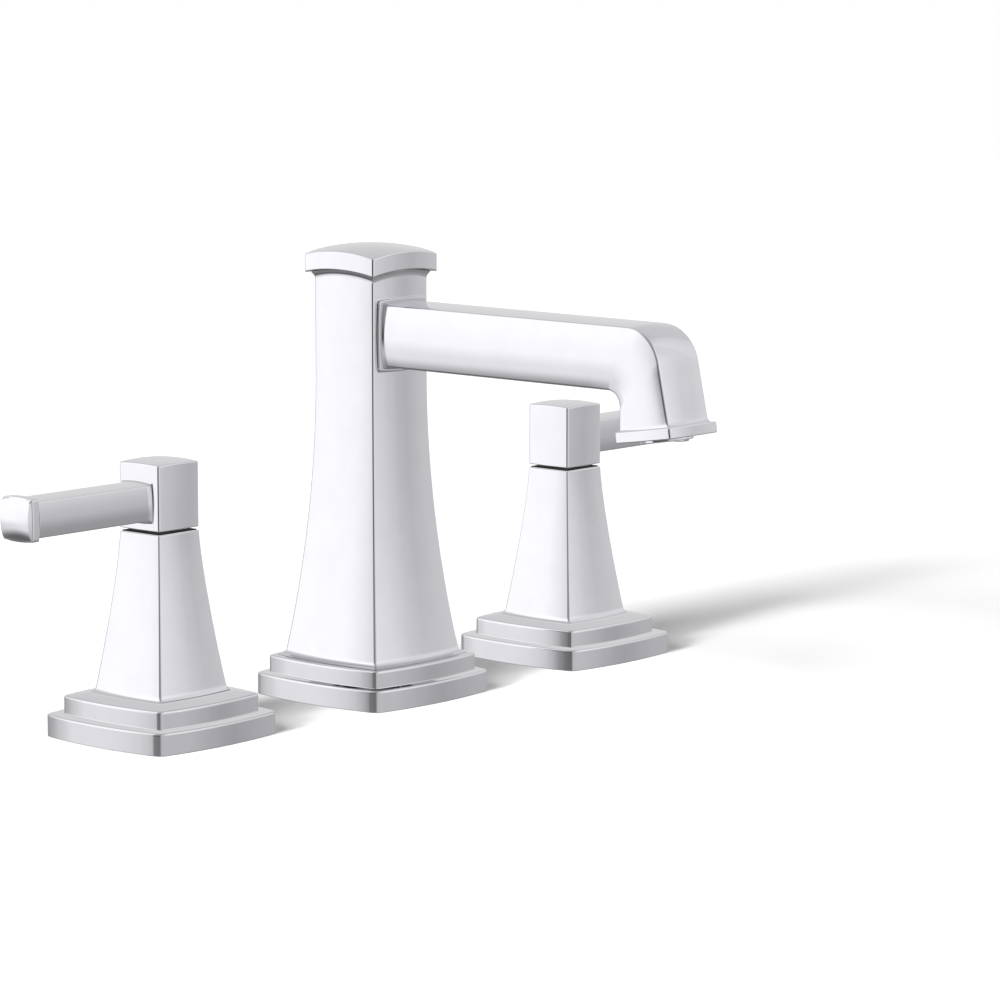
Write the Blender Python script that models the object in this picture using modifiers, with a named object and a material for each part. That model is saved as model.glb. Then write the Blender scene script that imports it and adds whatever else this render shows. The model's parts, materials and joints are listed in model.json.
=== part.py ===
# A widespread bathroom faucet: a square, flared spout column with a level arm,
# and two separate lever valves, one on each side of it. All three stand on a sink
# deck, whose top is the plane z = 0, and are clamped to it from below.
# +X runs along the row to the user's right, -Y points at the user, +Z is up.

import math

import bmesh
import bpy
from mathutils import Vector

MM = 0.001

# Clearances, overruns and smoothness
GAP = 0.3 * MM             # between pieces that meet
OVERRUN = 1.0 * MM         # how far a cutter runs past the face it leaves
MERGE = 0.01 * MM
ROUND_STEPS = 16
SIDE_STEPS = 4             # straight facets along one bowed side
BEND_STEPS = 6
CREASE_ANGLE = math.radians(35)

# The row and the deck
VALVE_CENTRES = 203.2 * MM  # from handle to handle, eight inches
DECK_THICKNESS = 20.0 * MM
SQUARE_EDGE = 0.5 * MM      # softened edge of the square chrome pieces

# Base plates: a low step that carries a smaller one
LOWER_STEP = 7.5 * MM
UPPER_STEP = 6.0 * MM
PLATE_TOP = LOWER_STEP + UPPER_STEP
PLATE_ROOF = 4.0 * MM       # metal above the relief in the underside
PLATE_RELIEF = 3.0 * MM     # room round the shank under that metal
GASKET_WIDTH = 4.5 * MM
GASKET_THICKNESS = 0.9 * MM
GASKET_RIM = 2.5 * MM       # metal outside the gasket

VALVE_PLATE = {"upper": 22.7 * MM, "upper_bow": 2.2 * MM, "ledge": 4.0 * MM, "lower_bow": 2.8 * MM}
SPOUT_PLATE = {"upper": 25.2 * MM, "upper_bow": 2.5 * MM, "ledge": 3.0 * MM, "lower_bow": 3.0 * MM}

# Shanks and the fixings under the deck
VALVE_SHANK_WALL = 2.4 * MM   # round the cartridge
SPOUT_SHANK_RADIUS = 14.0 * MM
SHANK_ENGAGEMENT = 3.2 * MM   # how far a shank rises into the piece it holds
WASHER_BORDER = 5.5 * MM
RUBBER_THICKNESS = 2.0 * MM
CLAMP_THICKNESS = 1.5 * MM
NUT_HEIGHT = 8.0 * MM
NUT_BORDER = 7.0 * MM

# Valve body under the deck
BOSS_SHOULDER = 1.8 * MM
BODY_BOSS_LENGTH = 21.5 * MM
BOSS_DROP = 1.5 * MM          # from the mounting nut down to the boss
BODY_FLOOR = 7.2 * MM         # brass under the seat seal
WATERWAY_RADIUS = 6.0 * MM
PAD_RADIUS = 8.0 * MM         # round pad on the boss that the outlet nipple seats on
PAD_RISE = 1.5 * MM

# Inlet tail and outlet nipple, both screwed into the valve body
INLET_RADIUS = 10.3 * MM
INLET_SHOULDER = 1.7 * MM
INLET_SPIGOT_LENGTH = 4.5 * MM
INLET_LENGTH = 13.5 * MM
OUTLET_RADIUS = 7.0 * MM
OUTLET_SPIGOT_RADIUS = 6.0 * MM
OUTLET_BORE = 4.5 * MM
OUTLET_COLLAR_RADIUS = 8.4 * MM
OUTLET_COLLAR_LENGTH = 3.0 * MM
OUTLET_REACH = 27.0 * MM
OUTLET_BELOW_BOSS = 8.5 * MM  # from the top of the boss down to the outlet's axis

# Cartridge, from its neck down to its seat
CARTRIDGE_RADIUS = 10.0 * MM
CARTRIDGE_NECK_RISE = 2.0 * MM
BONNET_NUT_HEIGHT = 5.0 * MM
BONNET_NUT_RADIUS = 11.6 * MM
DISC_RADIUS = 6.8 * MM
DISC_THICKNESS = 3.0 * MM
DISC_PORT_RADIUS = 1.8 * MM
DISC_PORT_OFFSET = 3.9 * MM
SEAL_THICKNESS = 3.0 * MM
SEAL_BORE = 4.6 * MM
DRIVE_PLATE_THICKNESS = 3.0 * MM
WINDOW_RADIUS = 3.0 * MM
STEM_RADIUS = 3.9 * MM
STEM_ENGAGEMENT = 15.0 * MM   # how far the stem rises into the handle

# Flared handle base
BODY_HEIGHT = 54.1 * MM
BODY_NECK = 9.1 * MM          # half the side at the top
BODY_FOOT = 16.8 * MM         # half the side at the plate
BODY_BOW_SHARE = 0.06
BODY_FLARE_SHARES = ((0.0, 1.0), (0.06, 0.84), (0.15, 0.69), (0.25, 0.57), (0.40, 0.42),
                     (0.55, 0.29), (0.70, 0.17), (0.84, 0.07), (1.0, 0.0))
BUSHING_RADIUS = 6.6 * MM
BUSHING_LENGTH = 8.0 * MM

# Handle
HUB_GAP = 1.1 * MM
HUB_HALF = 9.0 * MM
HUB_HEIGHT = 21.6 * MM
HUB_DOME = 0.8 * MM
HUB_BOW = 0.2 * MM
LEVER_RISE = 9.4 * MM         # lever's middle above the underside of the hub
LEVER_HALF_WIDTH = 6.2 * MM
LEVER_HALF_HEIGHT = 5.85 * MM
LEVER_SIDE_BOW = 0.8 * MM
LEVER_TOP_BOW = 0.5 * MM
LEVER_REACH = 59.3 * MM       # from the handle's axis to the end of the bar
LEVER_ROOT_FLARE = 0.7 * MM
LEVER_ROOT_LENGTH = 1.4 * MM
TENON_RADIUS = 3.7 * MM
TENON_LENGTH = 3.2 * MM
TIP_LENGTH = 4.8 * MM
TIP_SIDE_BORDER = 0.75 * MM   # how far the cap's corners stand proud of the bar's
TIP_END_BORDER = 0.95 * MM
TIP_SIDE_BOW = 0.1 * MM
TIP_DOME = 1.3 * MM
TIP_PEG_RADIUS = 3.0 * MM
TIP_PEG_LENGTH = 1.0 * MM
SET_SCREW_RADIUS = 2.0 * MM
SET_SCREW_RECESS = 0.8 * MM
SET_SCREW_SOCKET_RADIUS = 1.1 * MM
SET_SCREW_SOCKET_DEPTH = 1.8 * MM

# Spout column and its cap
COLUMN_HEIGHT = 130.0 * MM
COLUMN_NECK = 13.5 * MM
COLUMN_FOOT = 22.0 * MM
COLUMN_BOW_SHARE = 0.07
COLUMN_FLARE_SHARES = ((0.0, 1.0), (0.05, 0.83), (0.10, 0.69), (0.18, 0.53), (0.26, 0.39),
                       (0.34, 0.28), (0.42, 0.19), (0.50, 0.10), (0.64, 0.0), (1.0, 0.0))
COLUMN_ARCH = 1.1 * MM        # how far the top edge rises in the middle of a side
COLUMN_BORE = 9.5 * MM
POCKET_WALL = 3.3 * MM        # beside the square pocket behind the arm
POCKET_BELOW_ARM = 14.0 * MM
CAP_NECK_HEIGHT = 1.3 * MM
CAP_NECK_INSET = 0.5 * MM
CAP_OVERHANG = 2.4 * MM
CAP_BAND = 6.2 * MM
CAP_ARCH = 1.3 * MM
CAP_BOW = 0.9 * MM
CAP_DOME = 2.3 * MM           # crest above the arched edges
CAP_DOME_SHARES = ((0.97, 0.03), (0.80, 0.36), (0.55, 0.70), (0.28, 0.93), (0.10, 1.0))
CAP_PLUG_LENGTH = 5.5 * MM

# Spout arm
ARM_BELOW_TOP = 18.7 * MM     # from the column's top down to the arm's middle
ARM_HALF_HEIGHT = 10.5 * MM
ARM_HALF_WIDTH = 9.6 * MM
ARM_SIDE_BOW = 1.5 * MM
ARM_TOP_BOW = 0.6 * MM
ARM_EDGE = 0.8 * MM
BEND_LEAD = 2.5 * MM          # from the back of the nose to where the top bends down
BEND_RADIUS = 14.0 * MM
INNER_BEND_RADIUS = 5.5 * MM
NOSE_LEAN = math.radians(12.7)
NOSE_BACK = 119.0 * MM        # from the column's axis to the back of the nose
FLANGE_SIDE_LIP = 1.0 * MM
FLANGE_HALF_LENGTH = 11.6 * MM
FLANGE_THICKNESS = 3.65 * MM
FLANGE_LIP = 1.9 * MM         # front edge of the flange past the nose
FLANGE_SIDE_BOW = 0.8 * MM
FLANGE_END_BOW = 0.6 * MM
NOSE_DROP = 25.6 * MM         # from the arm's middle down to that of the flange's underside
OUTLET_TILT = math.radians(8.5)

# Pad on the column round the arm's root
BEZEL_SIDE_BORDER = 0.9 * MM
BEZEL_END_BORDER = 1.1 * MM
BEZEL_PROUD = 1.4 * MM
BEZEL_EDGE = 0.8 * MM

# Arm's tenon in the column, its seal and its clip
ARM_TENON_RADIUS = 7.5 * MM
ARM_TENON_INSIDE = 3.4 * MM   # how far the tenon shows inside the pocket
CLIP_GROOVE_DEPTH = 1.3 * MM
CLIP_THICKNESS = 1.2 * MM
RING_GROOVE_DEPTH = 1.1 * MM
RING_WIDTH = 1.4 * MM
TUBE_RADIUS = 3.8 * MM
TUBE_BORE = 2.8 * MM
TUBE_BEND_RADIUS = 9.0 * MM
TUBE_ENGAGEMENT = 6.0 * MM

# Aerator
AERATOR_RADIUS = 9.0 * MM
AERATOR_WALL = 1.4 * MM
AERATOR_DEPTH = 8.5 * MM
AERATOR_SHOW = 1.0 * MM
AERATOR_SCREEN_DEPTH = 1.2 * MM
AERATOR_GASKET_THICKNESS = 0.9 * MM
AERATOR_GASKET_WIDTH = 3.0 * MM

# Spout shank and the tee under it
THREAD_BELOW_NUT = 13.9 * MM
SHANK_TAIL_RADIUS = 9.5 * MM
SHANK_TAIL_LENGTH = 8.0 * MM
TEE_WALL = 3.2 * MM
TEE_CUP_DEPTH = 7.0 * MM
TEE_SEAL_THICKNESS = 1.0 * MM
TEE_SEAL_WIDTH = 3.5 * MM
TEE_ARM_RADIUS = 6.5 * MM
TEE_ARM_BORE = 4.0 * MM
TEE_ARM_REACH = 26.0 * MM
TEE_FLOOR = 3.0 * MM

# Widths worked out from the sizes above
VALVE_SHANK_RADIUS = CARTRIDGE_RADIUS + GAP + VALVE_SHANK_WALL
BODY_BOSS_RADIUS = VALVE_SHANK_RADIUS + BOSS_SHOULDER
INLET_SPIGOT_RADIUS = INLET_RADIUS - INLET_SHOULDER
CARTRIDGE_NECK_RADIUS = BUSHING_RADIUS - GAP
TEE_RADIUS = SHANK_TAIL_RADIUS + GAP + TEE_WALL
POCKET_HALF = COLUMN_NECK - POCKET_WALL
CLIP_HALF = POCKET_HALF - 2 * GAP
CAP_HALF = COLUMN_NECK + CAP_OVERHANG
BEND_START = NOSE_BACK + BEND_LEAD
BEZEL_HALF_WIDTH = ARM_HALF_WIDTH + ARM_SIDE_BOW + BEZEL_SIDE_BORDER
BEZEL_HALF_HEIGHT = ARM_HALF_HEIGHT + ARM_TOP_BOW + BEZEL_END_BORDER
FLANGE_HALF_WIDTH = ARM_HALF_WIDTH + ARM_SIDE_BOW + FLANGE_SIDE_LIP

# Heights worked out from the sizes above
SEAT = PLATE_TOP + GAP                      # where the flared pieces stand
SHANK_TOP = SEAT + SHANK_ENGAGEMENT
BODY_TOP = SEAT + BODY_HEIGHT
HUB_BOTTOM = BODY_TOP + HUB_GAP
LEVER_HEIGHT = HUB_BOTTOM + LEVER_RISE
COLUMN_TOP = SEAT + COLUMN_HEIGHT
CAP_BASE = COLUMN_TOP + GAP
ARM_AXIS_HEIGHT = COLUMN_TOP - ARM_BELOW_TOP
OUTLET_HEIGHT = ARM_AXIS_HEIGHT - NOSE_DROP
NUT_BOTTOM = -(DECK_THICKNESS + RUBBER_THICKNESS + CLAMP_THICKNESS + NUT_HEIGHT + 2 * GAP)
BOSS_TOP = NUT_BOTTOM - BOSS_DROP
BOSS_BOTTOM = BOSS_TOP - BODY_BOSS_LENGTH
CARTRIDGE_BOTTOM = BOSS_BOTTOM + BODY_FLOOR + GAP
VALVE_OUTLET_HEIGHT = BOSS_TOP - OUTLET_BELOW_BOSS


# Scene and collections
for old in list(bpy.data.objects):
    bpy.data.objects.remove(old)

parts = bpy.data.collections.new("widespread_faucet")
tools = bpy.data.collections.new("cutters")
for group in (parts, tools):
    bpy.context.scene.collection.children.link(group)


def finish(name, colour, metallic, roughness):
    """A Principled material for one kind of surface."""
    material = bpy.data.materials.new(name)
    material.use_nodes = True
    shader = material.node_tree.nodes["Principled BSDF"]
    shader.inputs["Base Color"].default_value = (*colour, 1.0)
    shader.inputs["Metallic"].default_value = metallic
    shader.inputs["Roughness"].default_value = roughness
    return material


CHROME = finish("polished_chrome", (0.80, 0.80, 0.82), 1.0, 0.06)
BRASS = finish("turned_brass", (0.74, 0.55, 0.27), 1.0, 0.28)
STEEL = finish("zinc_plated_steel", (0.62, 0.63, 0.65), 1.0, 0.35)
RUBBER = finish("black_rubber", (0.03, 0.03, 0.03), 0.0, 0.75)
NYLON = finish("black_nylon", (0.05, 0.05, 0.055), 0.0, 0.45)
CERAMIC = finish("alumina_ceramic", (0.90, 0.89, 0.85), 0.0, 0.20)
PLASTIC = finish("white_acetal", (0.85, 0.85, 0.83), 0.0, 0.40)


def add_part(name, mesh, axis, material):
    """Put a mesh in the part as one node, carried by the axis of its unit."""
    mesh.materials.append(material)
    piece = bpy.data.objects.new(name, mesh)
    piece.parent = axis
    parts.objects.link(piece)
    return piece


def add_tool(name, mesh, axis):
    """Put a mesh among the cutters, in the frame of the unit it cuts."""
    tool = bpy.data.objects.new(name, mesh)
    tool.parent = axis
    tool.hide_render = True
    tool.display_type = "WIRE"
    tools.objects.link(tool)
    return tool


def combine(piece, tool, operation):
    """Cut, or join, a piece with a tool."""
    step = piece.modifiers.new(tool.name, "BOOLEAN")
    step.operation = operation
    step.solver = "EXACT"
    step.object = tool


def add_axis(name, x):
    """The upright axis that one unit of the row is built round."""
    axis = bpy.data.objects.new(name, None)
    axis.location = (x, 0, 0)
    parts.objects.link(axis)
    return axis


def mesh_from(name, shape):
    """Turn a bmesh into a mesh with its faces pointing out."""
    bmesh.ops.recalc_face_normals(shape, faces=shape.faces)
    mesh = bpy.data.meshes.new(name)
    shape.to_mesh(mesh)
    shape.free()
    mesh.shade_smooth()
    mesh.set_sharp_from_angle(angle=CREASE_ANGLE)
    return mesh


def box(name, low, high):
    """A box between two corners."""
    shape = bmesh.new()
    bmesh.ops.create_cube(shape, size=1)
    low, high = Vector(low), Vector(high)
    bmesh.ops.scale(shape, vec=high - low, verts=shape.verts)
    bmesh.ops.translate(shape, vec=(low + high) / 2, verts=shape.verts)
    return mesh_from(name, shape)


def rod(name, radius, low, high, sides=ROUND_STEPS):
    """An upright cylinder, or a prism with a few sides, between two heights."""
    shape = bmesh.new()
    bmesh.ops.create_cone(shape, cap_ends=True, segments=sides, radius1=radius, radius2=radius,
                          depth=high - low)
    bmesh.ops.translate(shape, vec=(0, 0, (low + high) / 2), verts=shape.verts)
    return mesh_from(name, shape)


def profile_mesh(name, points):
    """A half section of (radius, height) points, down the outside and up the bore."""
    closed = min(radius for radius, height in points) > 0
    count = len(points)
    edges = [(i, i + 1) for i in range(count - 1)]
    if closed:
        edges.append((count - 1, 0))
    mesh = bpy.data.meshes.new(name)
    mesh.from_pydata([(radius, 0, height) for radius, height in points], edges, [])
    return mesh


def turn(piece):
    """Turn a half section about its own Z."""
    step = piece.modifiers.new("turn", "SCREW")
    step.steps = ROUND_STEPS
    step.render_steps = ROUND_STEPS
    step.use_merge_vertices = True
    step.merge_threshold = MERGE
    step.use_smooth_shade = True


def ring_section(outer, bore, low, high):
    """Half section of a plain ring."""
    return ((outer, high), (outer, low), (bore, low), (bore, high))


def turned_part(name, points, axis, material):
    piece = add_part(name, profile_mesh(name, points), axis, material)
    turn(piece)
    return piece


def turned_tool(name, points, axis):
    tool = add_tool(name, profile_mesh(name, points), axis)
    turn(tool)
    return tool


def bore(piece, name, radius, low, high, axis):
    """Bore a piece from one height to another."""
    tool = add_tool(piece.name + "_" + name, rod(name, radius, low, high), axis)
    combine(piece, tool, "DIFFERENCE")
    return tool


def bowed_outline(half, bow, edge, arch=0):
    """Points of a square whose sides swell; the third value is the rise of an arched side."""
    points = []
    for quarter in range(4):
        turned = quarter % 2
        out, along = half[turned], half[1 - turned]
        swell = bow[turned]
        corner = edge * (1 - math.cos(math.pi / 4))
        side = []
        for step in range(SIDE_STEPS + 1):
            share = 2 * step / SIDE_STEPS - 1
            place = share * (along - edge)
            fall = 1 - (place / along) ** 2
            side.append((out + swell * fall, place, arch * fall))
        side.append((out - corner, along - corner, 0))
        cosine, sine = ((1, 0), (0, 1), (-1, 0), (0, -1))[quarter]
        for x, y, rise in side:
            points.append((x * cosine - y * sine, x * sine + y * cosine, rise))
    return points


def loft(name, rings):
    """Skin rings of equal count, and close both ends."""
    shape = bmesh.new()
    rows = [[shape.verts.new(point) for point in ring] for ring in rings]
    count = len(rows[0])
    for row, after in zip(rows, rows[1:]):
        for i in range(count):
            following = (i + 1) % count
            shape.faces.new((row[i], row[following], after[following], after[i]))
    shape.faces.new(reversed(rows[0]))
    shape.faces.new(rows[-1])
    bmesh.ops.triangulate(shape, faces=shape.faces)
    return mesh_from(name, shape)


def upright_ring(half, bow, height, edge=SQUARE_EDGE, arch=0):
    outline = bowed_outline((half, half), (bow, bow), edge, arch)
    return [Vector((x, y, height + rise)) for x, y, rise in outline]


def lever_ring(half_width, half_height, bow_width, bow_height, reach, side):
    """A section of the lever, square to X, on the side the lever points to."""
    outline = bowed_outline((half_width, half_height), (bow_width, bow_height), SQUARE_EDGE)
    return [Vector((side * reach, y, LEVER_HEIGHT + z)) for y, z, rise in outline]


def flare(foot, neck, bow_share, shares, base, height):
    """Rings of a pillar that widens towards its foot."""
    rings = []
    for height_share, width_share in shares:
        half = neck + (foot - neck) * width_share
        rings.append(upright_ring(half, half * bow_share, base + height * height_share))
    return rings


def tube(name, path, radius):
    """A round tube along a path, with its caps welded on."""
    curve = bpy.data.curves.new(name, "CURVE")
    curve.dimensions = "3D"
    curve.bevel_depth = radius
    curve.bevel_resolution = 2
    curve.use_fill_caps = True
    line = curve.splines.new("POLY")
    line.points.add(len(path) - 1)
    for point, place in zip(line.points, path):
        point.co = (*place, 1)
    holder = bpy.data.objects.new(name, curve)
    parts.objects.link(holder)
    evaluated = holder.evaluated_get(bpy.context.evaluated_depsgraph_get())
    mesh = bpy.data.meshes.new_from_object(evaluated)
    bpy.data.objects.remove(holder)
    shape = bmesh.new()
    shape.from_mesh(mesh)
    bmesh.ops.remove_doubles(shape, verts=shape.verts, dist=MERGE)
    return mesh_from(name, shape)


# Base plate and gasket, alike on the valves and on the spout
def base_plate(prefix, sizes, shank_radius, axis):
    upper, upper_bow = sizes["upper"], sizes["upper_bow"]
    lower, lower_bow = upper + sizes["ledge"], sizes["lower_bow"]
    rings = [
        upright_ring(lower, lower_bow, 0),
        upright_ring(lower, lower_bow, LOWER_STEP - SQUARE_EDGE),
        upright_ring(lower - SQUARE_EDGE, lower_bow, LOWER_STEP),
        upright_ring(upper, upper_bow, LOWER_STEP),
        upright_ring(upper, upper_bow, PLATE_TOP - SQUARE_EDGE),
        upright_ring(upper - SQUARE_EDGE, upper_bow, PLATE_TOP),
    ]
    plate = add_part(prefix + "_escutcheon", loft("plate", rings), axis, CHROME)
    outer = lower - GASKET_RIM
    inner = outer - GASKET_WIDTH
    recess = outer + GAP
    hollow = box("recess", (-recess, -recess, -OVERRUN), (recess, recess, GASKET_THICKNESS + GAP))
    tool = add_tool(prefix + "_gasket_recess", hollow, axis)
    combine(plate, tool, "DIFFERENCE")
    bore(plate, "relief", shank_radius + PLATE_RELIEF, 0, PLATE_TOP - PLATE_ROOF, axis)
    bore(plate, "bore", shank_radius + GAP, 0, PLATE_TOP + OVERRUN, axis)

    gasket = add_part(prefix + "_base_gasket",
                      box("gasket", (-outer, -outer, 0), (outer, outer, GASKET_THICKNESS)), axis, RUBBER)
    tool = add_tool(prefix + "_gasket_hollow",
                    box("hollow", (-inner, -inner, -OVERRUN), (inner, inner, GASKET_THICKNESS + OVERRUN)),
                    axis)
    combine(gasket, tool, "DIFFERENCE")


# Washers and lock nut that clamp a shank to the deck from below
def deck_fixings(prefix, shank_radius, axis):
    hole = shank_radius + GAP
    rim = hole + WASHER_BORDER
    rubber_bottom = -DECK_THICKNESS - RUBBER_THICKNESS
    turned_part(prefix + "_rubber_washer", ring_section(rim, hole, rubber_bottom, -DECK_THICKNESS),
                axis, RUBBER)
    clamp_top = rubber_bottom - GAP
    clamp_bottom = clamp_top - CLAMP_THICKNESS
    turned_part(prefix + "_clamp_washer", ring_section(rim, hole, clamp_bottom, clamp_top), axis, STEEL)
    nut_top = clamp_bottom - GAP
    nut = add_part(prefix + "_mounting_nut",
                   rod("nut", hole + NUT_BORDER, nut_top - NUT_HEIGHT, nut_top, sides=6), axis, BRASS)
    bore(nut, "bore", hole, nut_top - NUT_HEIGHT - OVERRUN, nut_top + OVERRUN, axis)


# Brass valve body: a threaded shank over a boss with a pad for the side outlet
def valve_body(prefix, side, axis):
    seal_seat = CARTRIDGE_BOTTOM - GAP
    chamber = CARTRIDGE_RADIUS + GAP
    socket = INLET_SPIGOT_RADIUS + GAP
    socket_top = BOSS_BOTTOM + INLET_SPIGOT_LENGTH
    outline = (
        (VALVE_SHANK_RADIUS, SHANK_TOP),
        (VALVE_SHANK_RADIUS, BOSS_TOP),
        (BODY_BOSS_RADIUS, BOSS_TOP),
        (BODY_BOSS_RADIUS, BOSS_BOTTOM),
        (socket, BOSS_BOTTOM),
        (socket, socket_top),
        (WATERWAY_RADIUS, socket_top),
        (WATERWAY_RADIUS, seal_seat),
        (chamber, seal_seat),
        (chamber, SHANK_TOP),
    )
    body = turned_part(prefix + "_valve_body", outline, axis, BRASS)
    wall = (chamber + BODY_BOSS_RADIUS) / 2
    pad_face = BODY_BOSS_RADIUS + PAD_RISE
    for name, radius, start, end, operation in (
            ("pad", PAD_RADIUS, wall, pad_face, "UNION"),
            ("nipple_hole", OUTLET_SPIGOT_RADIUS + GAP, CARTRIDGE_RADIUS, pad_face + OVERRUN, "DIFFERENCE")):
        tool = add_tool(prefix + "_" + name, rod(name, radius, start, end), axis)
        tool.location = (0, 0, VALVE_OUTLET_HEIGHT)
        tool.rotation_euler = (0, -side * math.pi / 2, 0)
        combine(body, tool, operation)


# Threaded tail that the supply hose screws on to
def inlet_tail(prefix, axis):
    spigot_top = BOSS_BOTTOM + INLET_SPIGOT_LENGTH - GAP
    shoulder = BOSS_BOTTOM - GAP
    bottom = BOSS_BOTTOM - INLET_LENGTH
    outline = (
        (INLET_SPIGOT_RADIUS, spigot_top),
        (INLET_SPIGOT_RADIUS, shoulder),
        (INLET_RADIUS, shoulder),
        (INLET_RADIUS, bottom),
        (WATERWAY_RADIUS, bottom),
        (WATERWAY_RADIUS, spigot_top),
    )
    turned_part(prefix + "_inlet_tail", outline, axis, BRASS)


# Nipple with a hexagon collar, for the hose that leads to the tee
def outlet_nipple(prefix, side, axis):
    start = CARTRIDGE_RADIUS + 2 * GAP
    collar_low = BODY_BOSS_RADIUS + PAD_RISE + GAP
    collar_high = collar_low + OUTLET_COLLAR_LENGTH
    barrel_low = (collar_low + collar_high) / 2
    outline = (
        (0, OUTLET_REACH),
        (OUTLET_RADIUS, OUTLET_REACH),
        (OUTLET_RADIUS, barrel_low),
        (OUTLET_SPIGOT_RADIUS, barrel_low),
        (OUTLET_SPIGOT_RADIUS, start),
        (0, start),
    )
    nipple = turned_part(prefix + "_outlet_nipple", outline, axis, BRASS)
    collar = add_tool(prefix + "_nipple_collar",
                      rod("collar", OUTLET_COLLAR_RADIUS, collar_low, collar_high, sides=6), axis)
    combine(nipple, collar, "UNION")
    passage = bore(nipple, "bore", OUTLET_BORE, start - OVERRUN, OUTLET_REACH + OVERRUN, axis)
    for item in (nipple, collar, passage):
        item.location = (0, 0, VALVE_OUTLET_HEIGHT)
        item.rotation_euler = (0, -side * math.pi / 2, 0)


# Ceramic disc cartridge, held in the shank by a bonnet nut
def cartridge(prefix, axis):
    seal_top = CARTRIDGE_BOTTOM + SEAL_THICKNESS
    fixed_bottom = seal_top + GAP
    moving_bottom = fixed_bottom + DISC_THICKNESS + GAP
    drive_bottom = moving_bottom + DISC_THICKNESS + GAP
    drive_top = drive_bottom + DRIVE_PLATE_THICKNESS
    nut_bottom = SHANK_TOP + GAP
    nut_top = nut_bottom + BONNET_NUT_HEIGHT
    chamber = DISC_RADIUS + GAP
    stem_hole = STEM_RADIUS + GAP
    outline = (
        (CARTRIDGE_NECK_RADIUS, nut_top + CARTRIDGE_NECK_RISE),
        (CARTRIDGE_NECK_RADIUS, SHANK_TOP),
        (CARTRIDGE_RADIUS, SHANK_TOP),
        (CARTRIDGE_RADIUS, CARTRIDGE_BOTTOM),
        (chamber, CARTRIDGE_BOTTOM),
        (chamber, drive_top + GAP),
        (stem_hole, drive_top + GAP),
        (stem_hole, nut_top + CARTRIDGE_NECK_RISE),
    )
    body = turned_part(prefix + "_cartridge_body", outline, axis, PLASTIC)
    window = add_tool(prefix + "_cartridge_window",
                      rod("window", WINDOW_RADIUS, -CARTRIDGE_RADIUS - OVERRUN, CARTRIDGE_RADIUS + OVERRUN),
                      axis)
    window.location = (0, 0, (moving_bottom + drive_top) / 2)
    window.rotation_euler = (0, math.pi / 2, 0)
    combine(body, window, "DIFFERENCE")

    nut = add_part(prefix + "_bonnet_nut",
                   rod("bonnet_nut", BONNET_NUT_RADIUS, nut_bottom, nut_top, sides=6), axis, BRASS)
    bore(nut, "bore", CARTRIDGE_NECK_RADIUS + GAP, nut_bottom - OVERRUN, nut_top + OVERRUN, axis)

    turned_part(prefix + "_seat_seal", ring_section(DISC_RADIUS, SEAL_BORE, CARTRIDGE_BOTTOM, seal_top),
                axis, RUBBER)
    for name, bottom in (("fixed_disc", fixed_bottom), ("moving_disc", moving_bottom)):
        top = bottom + DISC_THICKNESS
        disc = add_part(prefix + "_" + name, rod(name, DISC_RADIUS, bottom, top), axis, CERAMIC)
        for port in (-1, 1):
            hole = "port_" + str(port + 1)
            tool = bore(disc, hole, DISC_PORT_RADIUS, bottom - OVERRUN, top + OVERRUN, axis)
            tool.location = (0, port * DISC_PORT_OFFSET, 0)

    stem_top = HUB_BOTTOM + STEM_ENGAGEMENT
    stem = (
        (0, stem_top),
        (STEM_RADIUS, stem_top),
        (STEM_RADIUS, drive_top),
        (DISC_RADIUS, drive_top),
        (DISC_RADIUS, drive_bottom),
        (0, drive_bottom),
    )
    turned_part(prefix + "_stem", stem, axis, BRASS)


# Hollow flared body over the valve, with the bushing that guides the stem
def handle_base(prefix, axis):
    rings = flare(BODY_FOOT, BODY_NECK, BODY_BOW_SHARE, BODY_FLARE_SHARES, SEAT, BODY_HEIGHT)
    body = add_part(prefix + "_handle_base", loft("body", rings), axis, CHROME)
    shank_room = SHANK_TOP + GAP
    nut_room = shank_room + BONNET_NUT_HEIGHT + GAP
    bore(body, "foot_bore", VALVE_SHANK_RADIUS + GAP, SEAT - OVERRUN, shank_room, axis)
    bore(body, "nut_bore", BONNET_NUT_RADIUS + GAP, shank_room - OVERRUN, nut_room, axis)
    bore(body, "neck_bore", BUSHING_RADIUS + GAP, nut_room - OVERRUN, BODY_TOP + OVERRUN, axis)
    bushing_top = HUB_BOTTOM - GAP
    turned_part(prefix + "_stem_bushing",
                ring_section(BUSHING_RADIUS, STEM_RADIUS + GAP, bushing_top - BUSHING_LENGTH, bushing_top),
                axis, NYLON)


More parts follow.
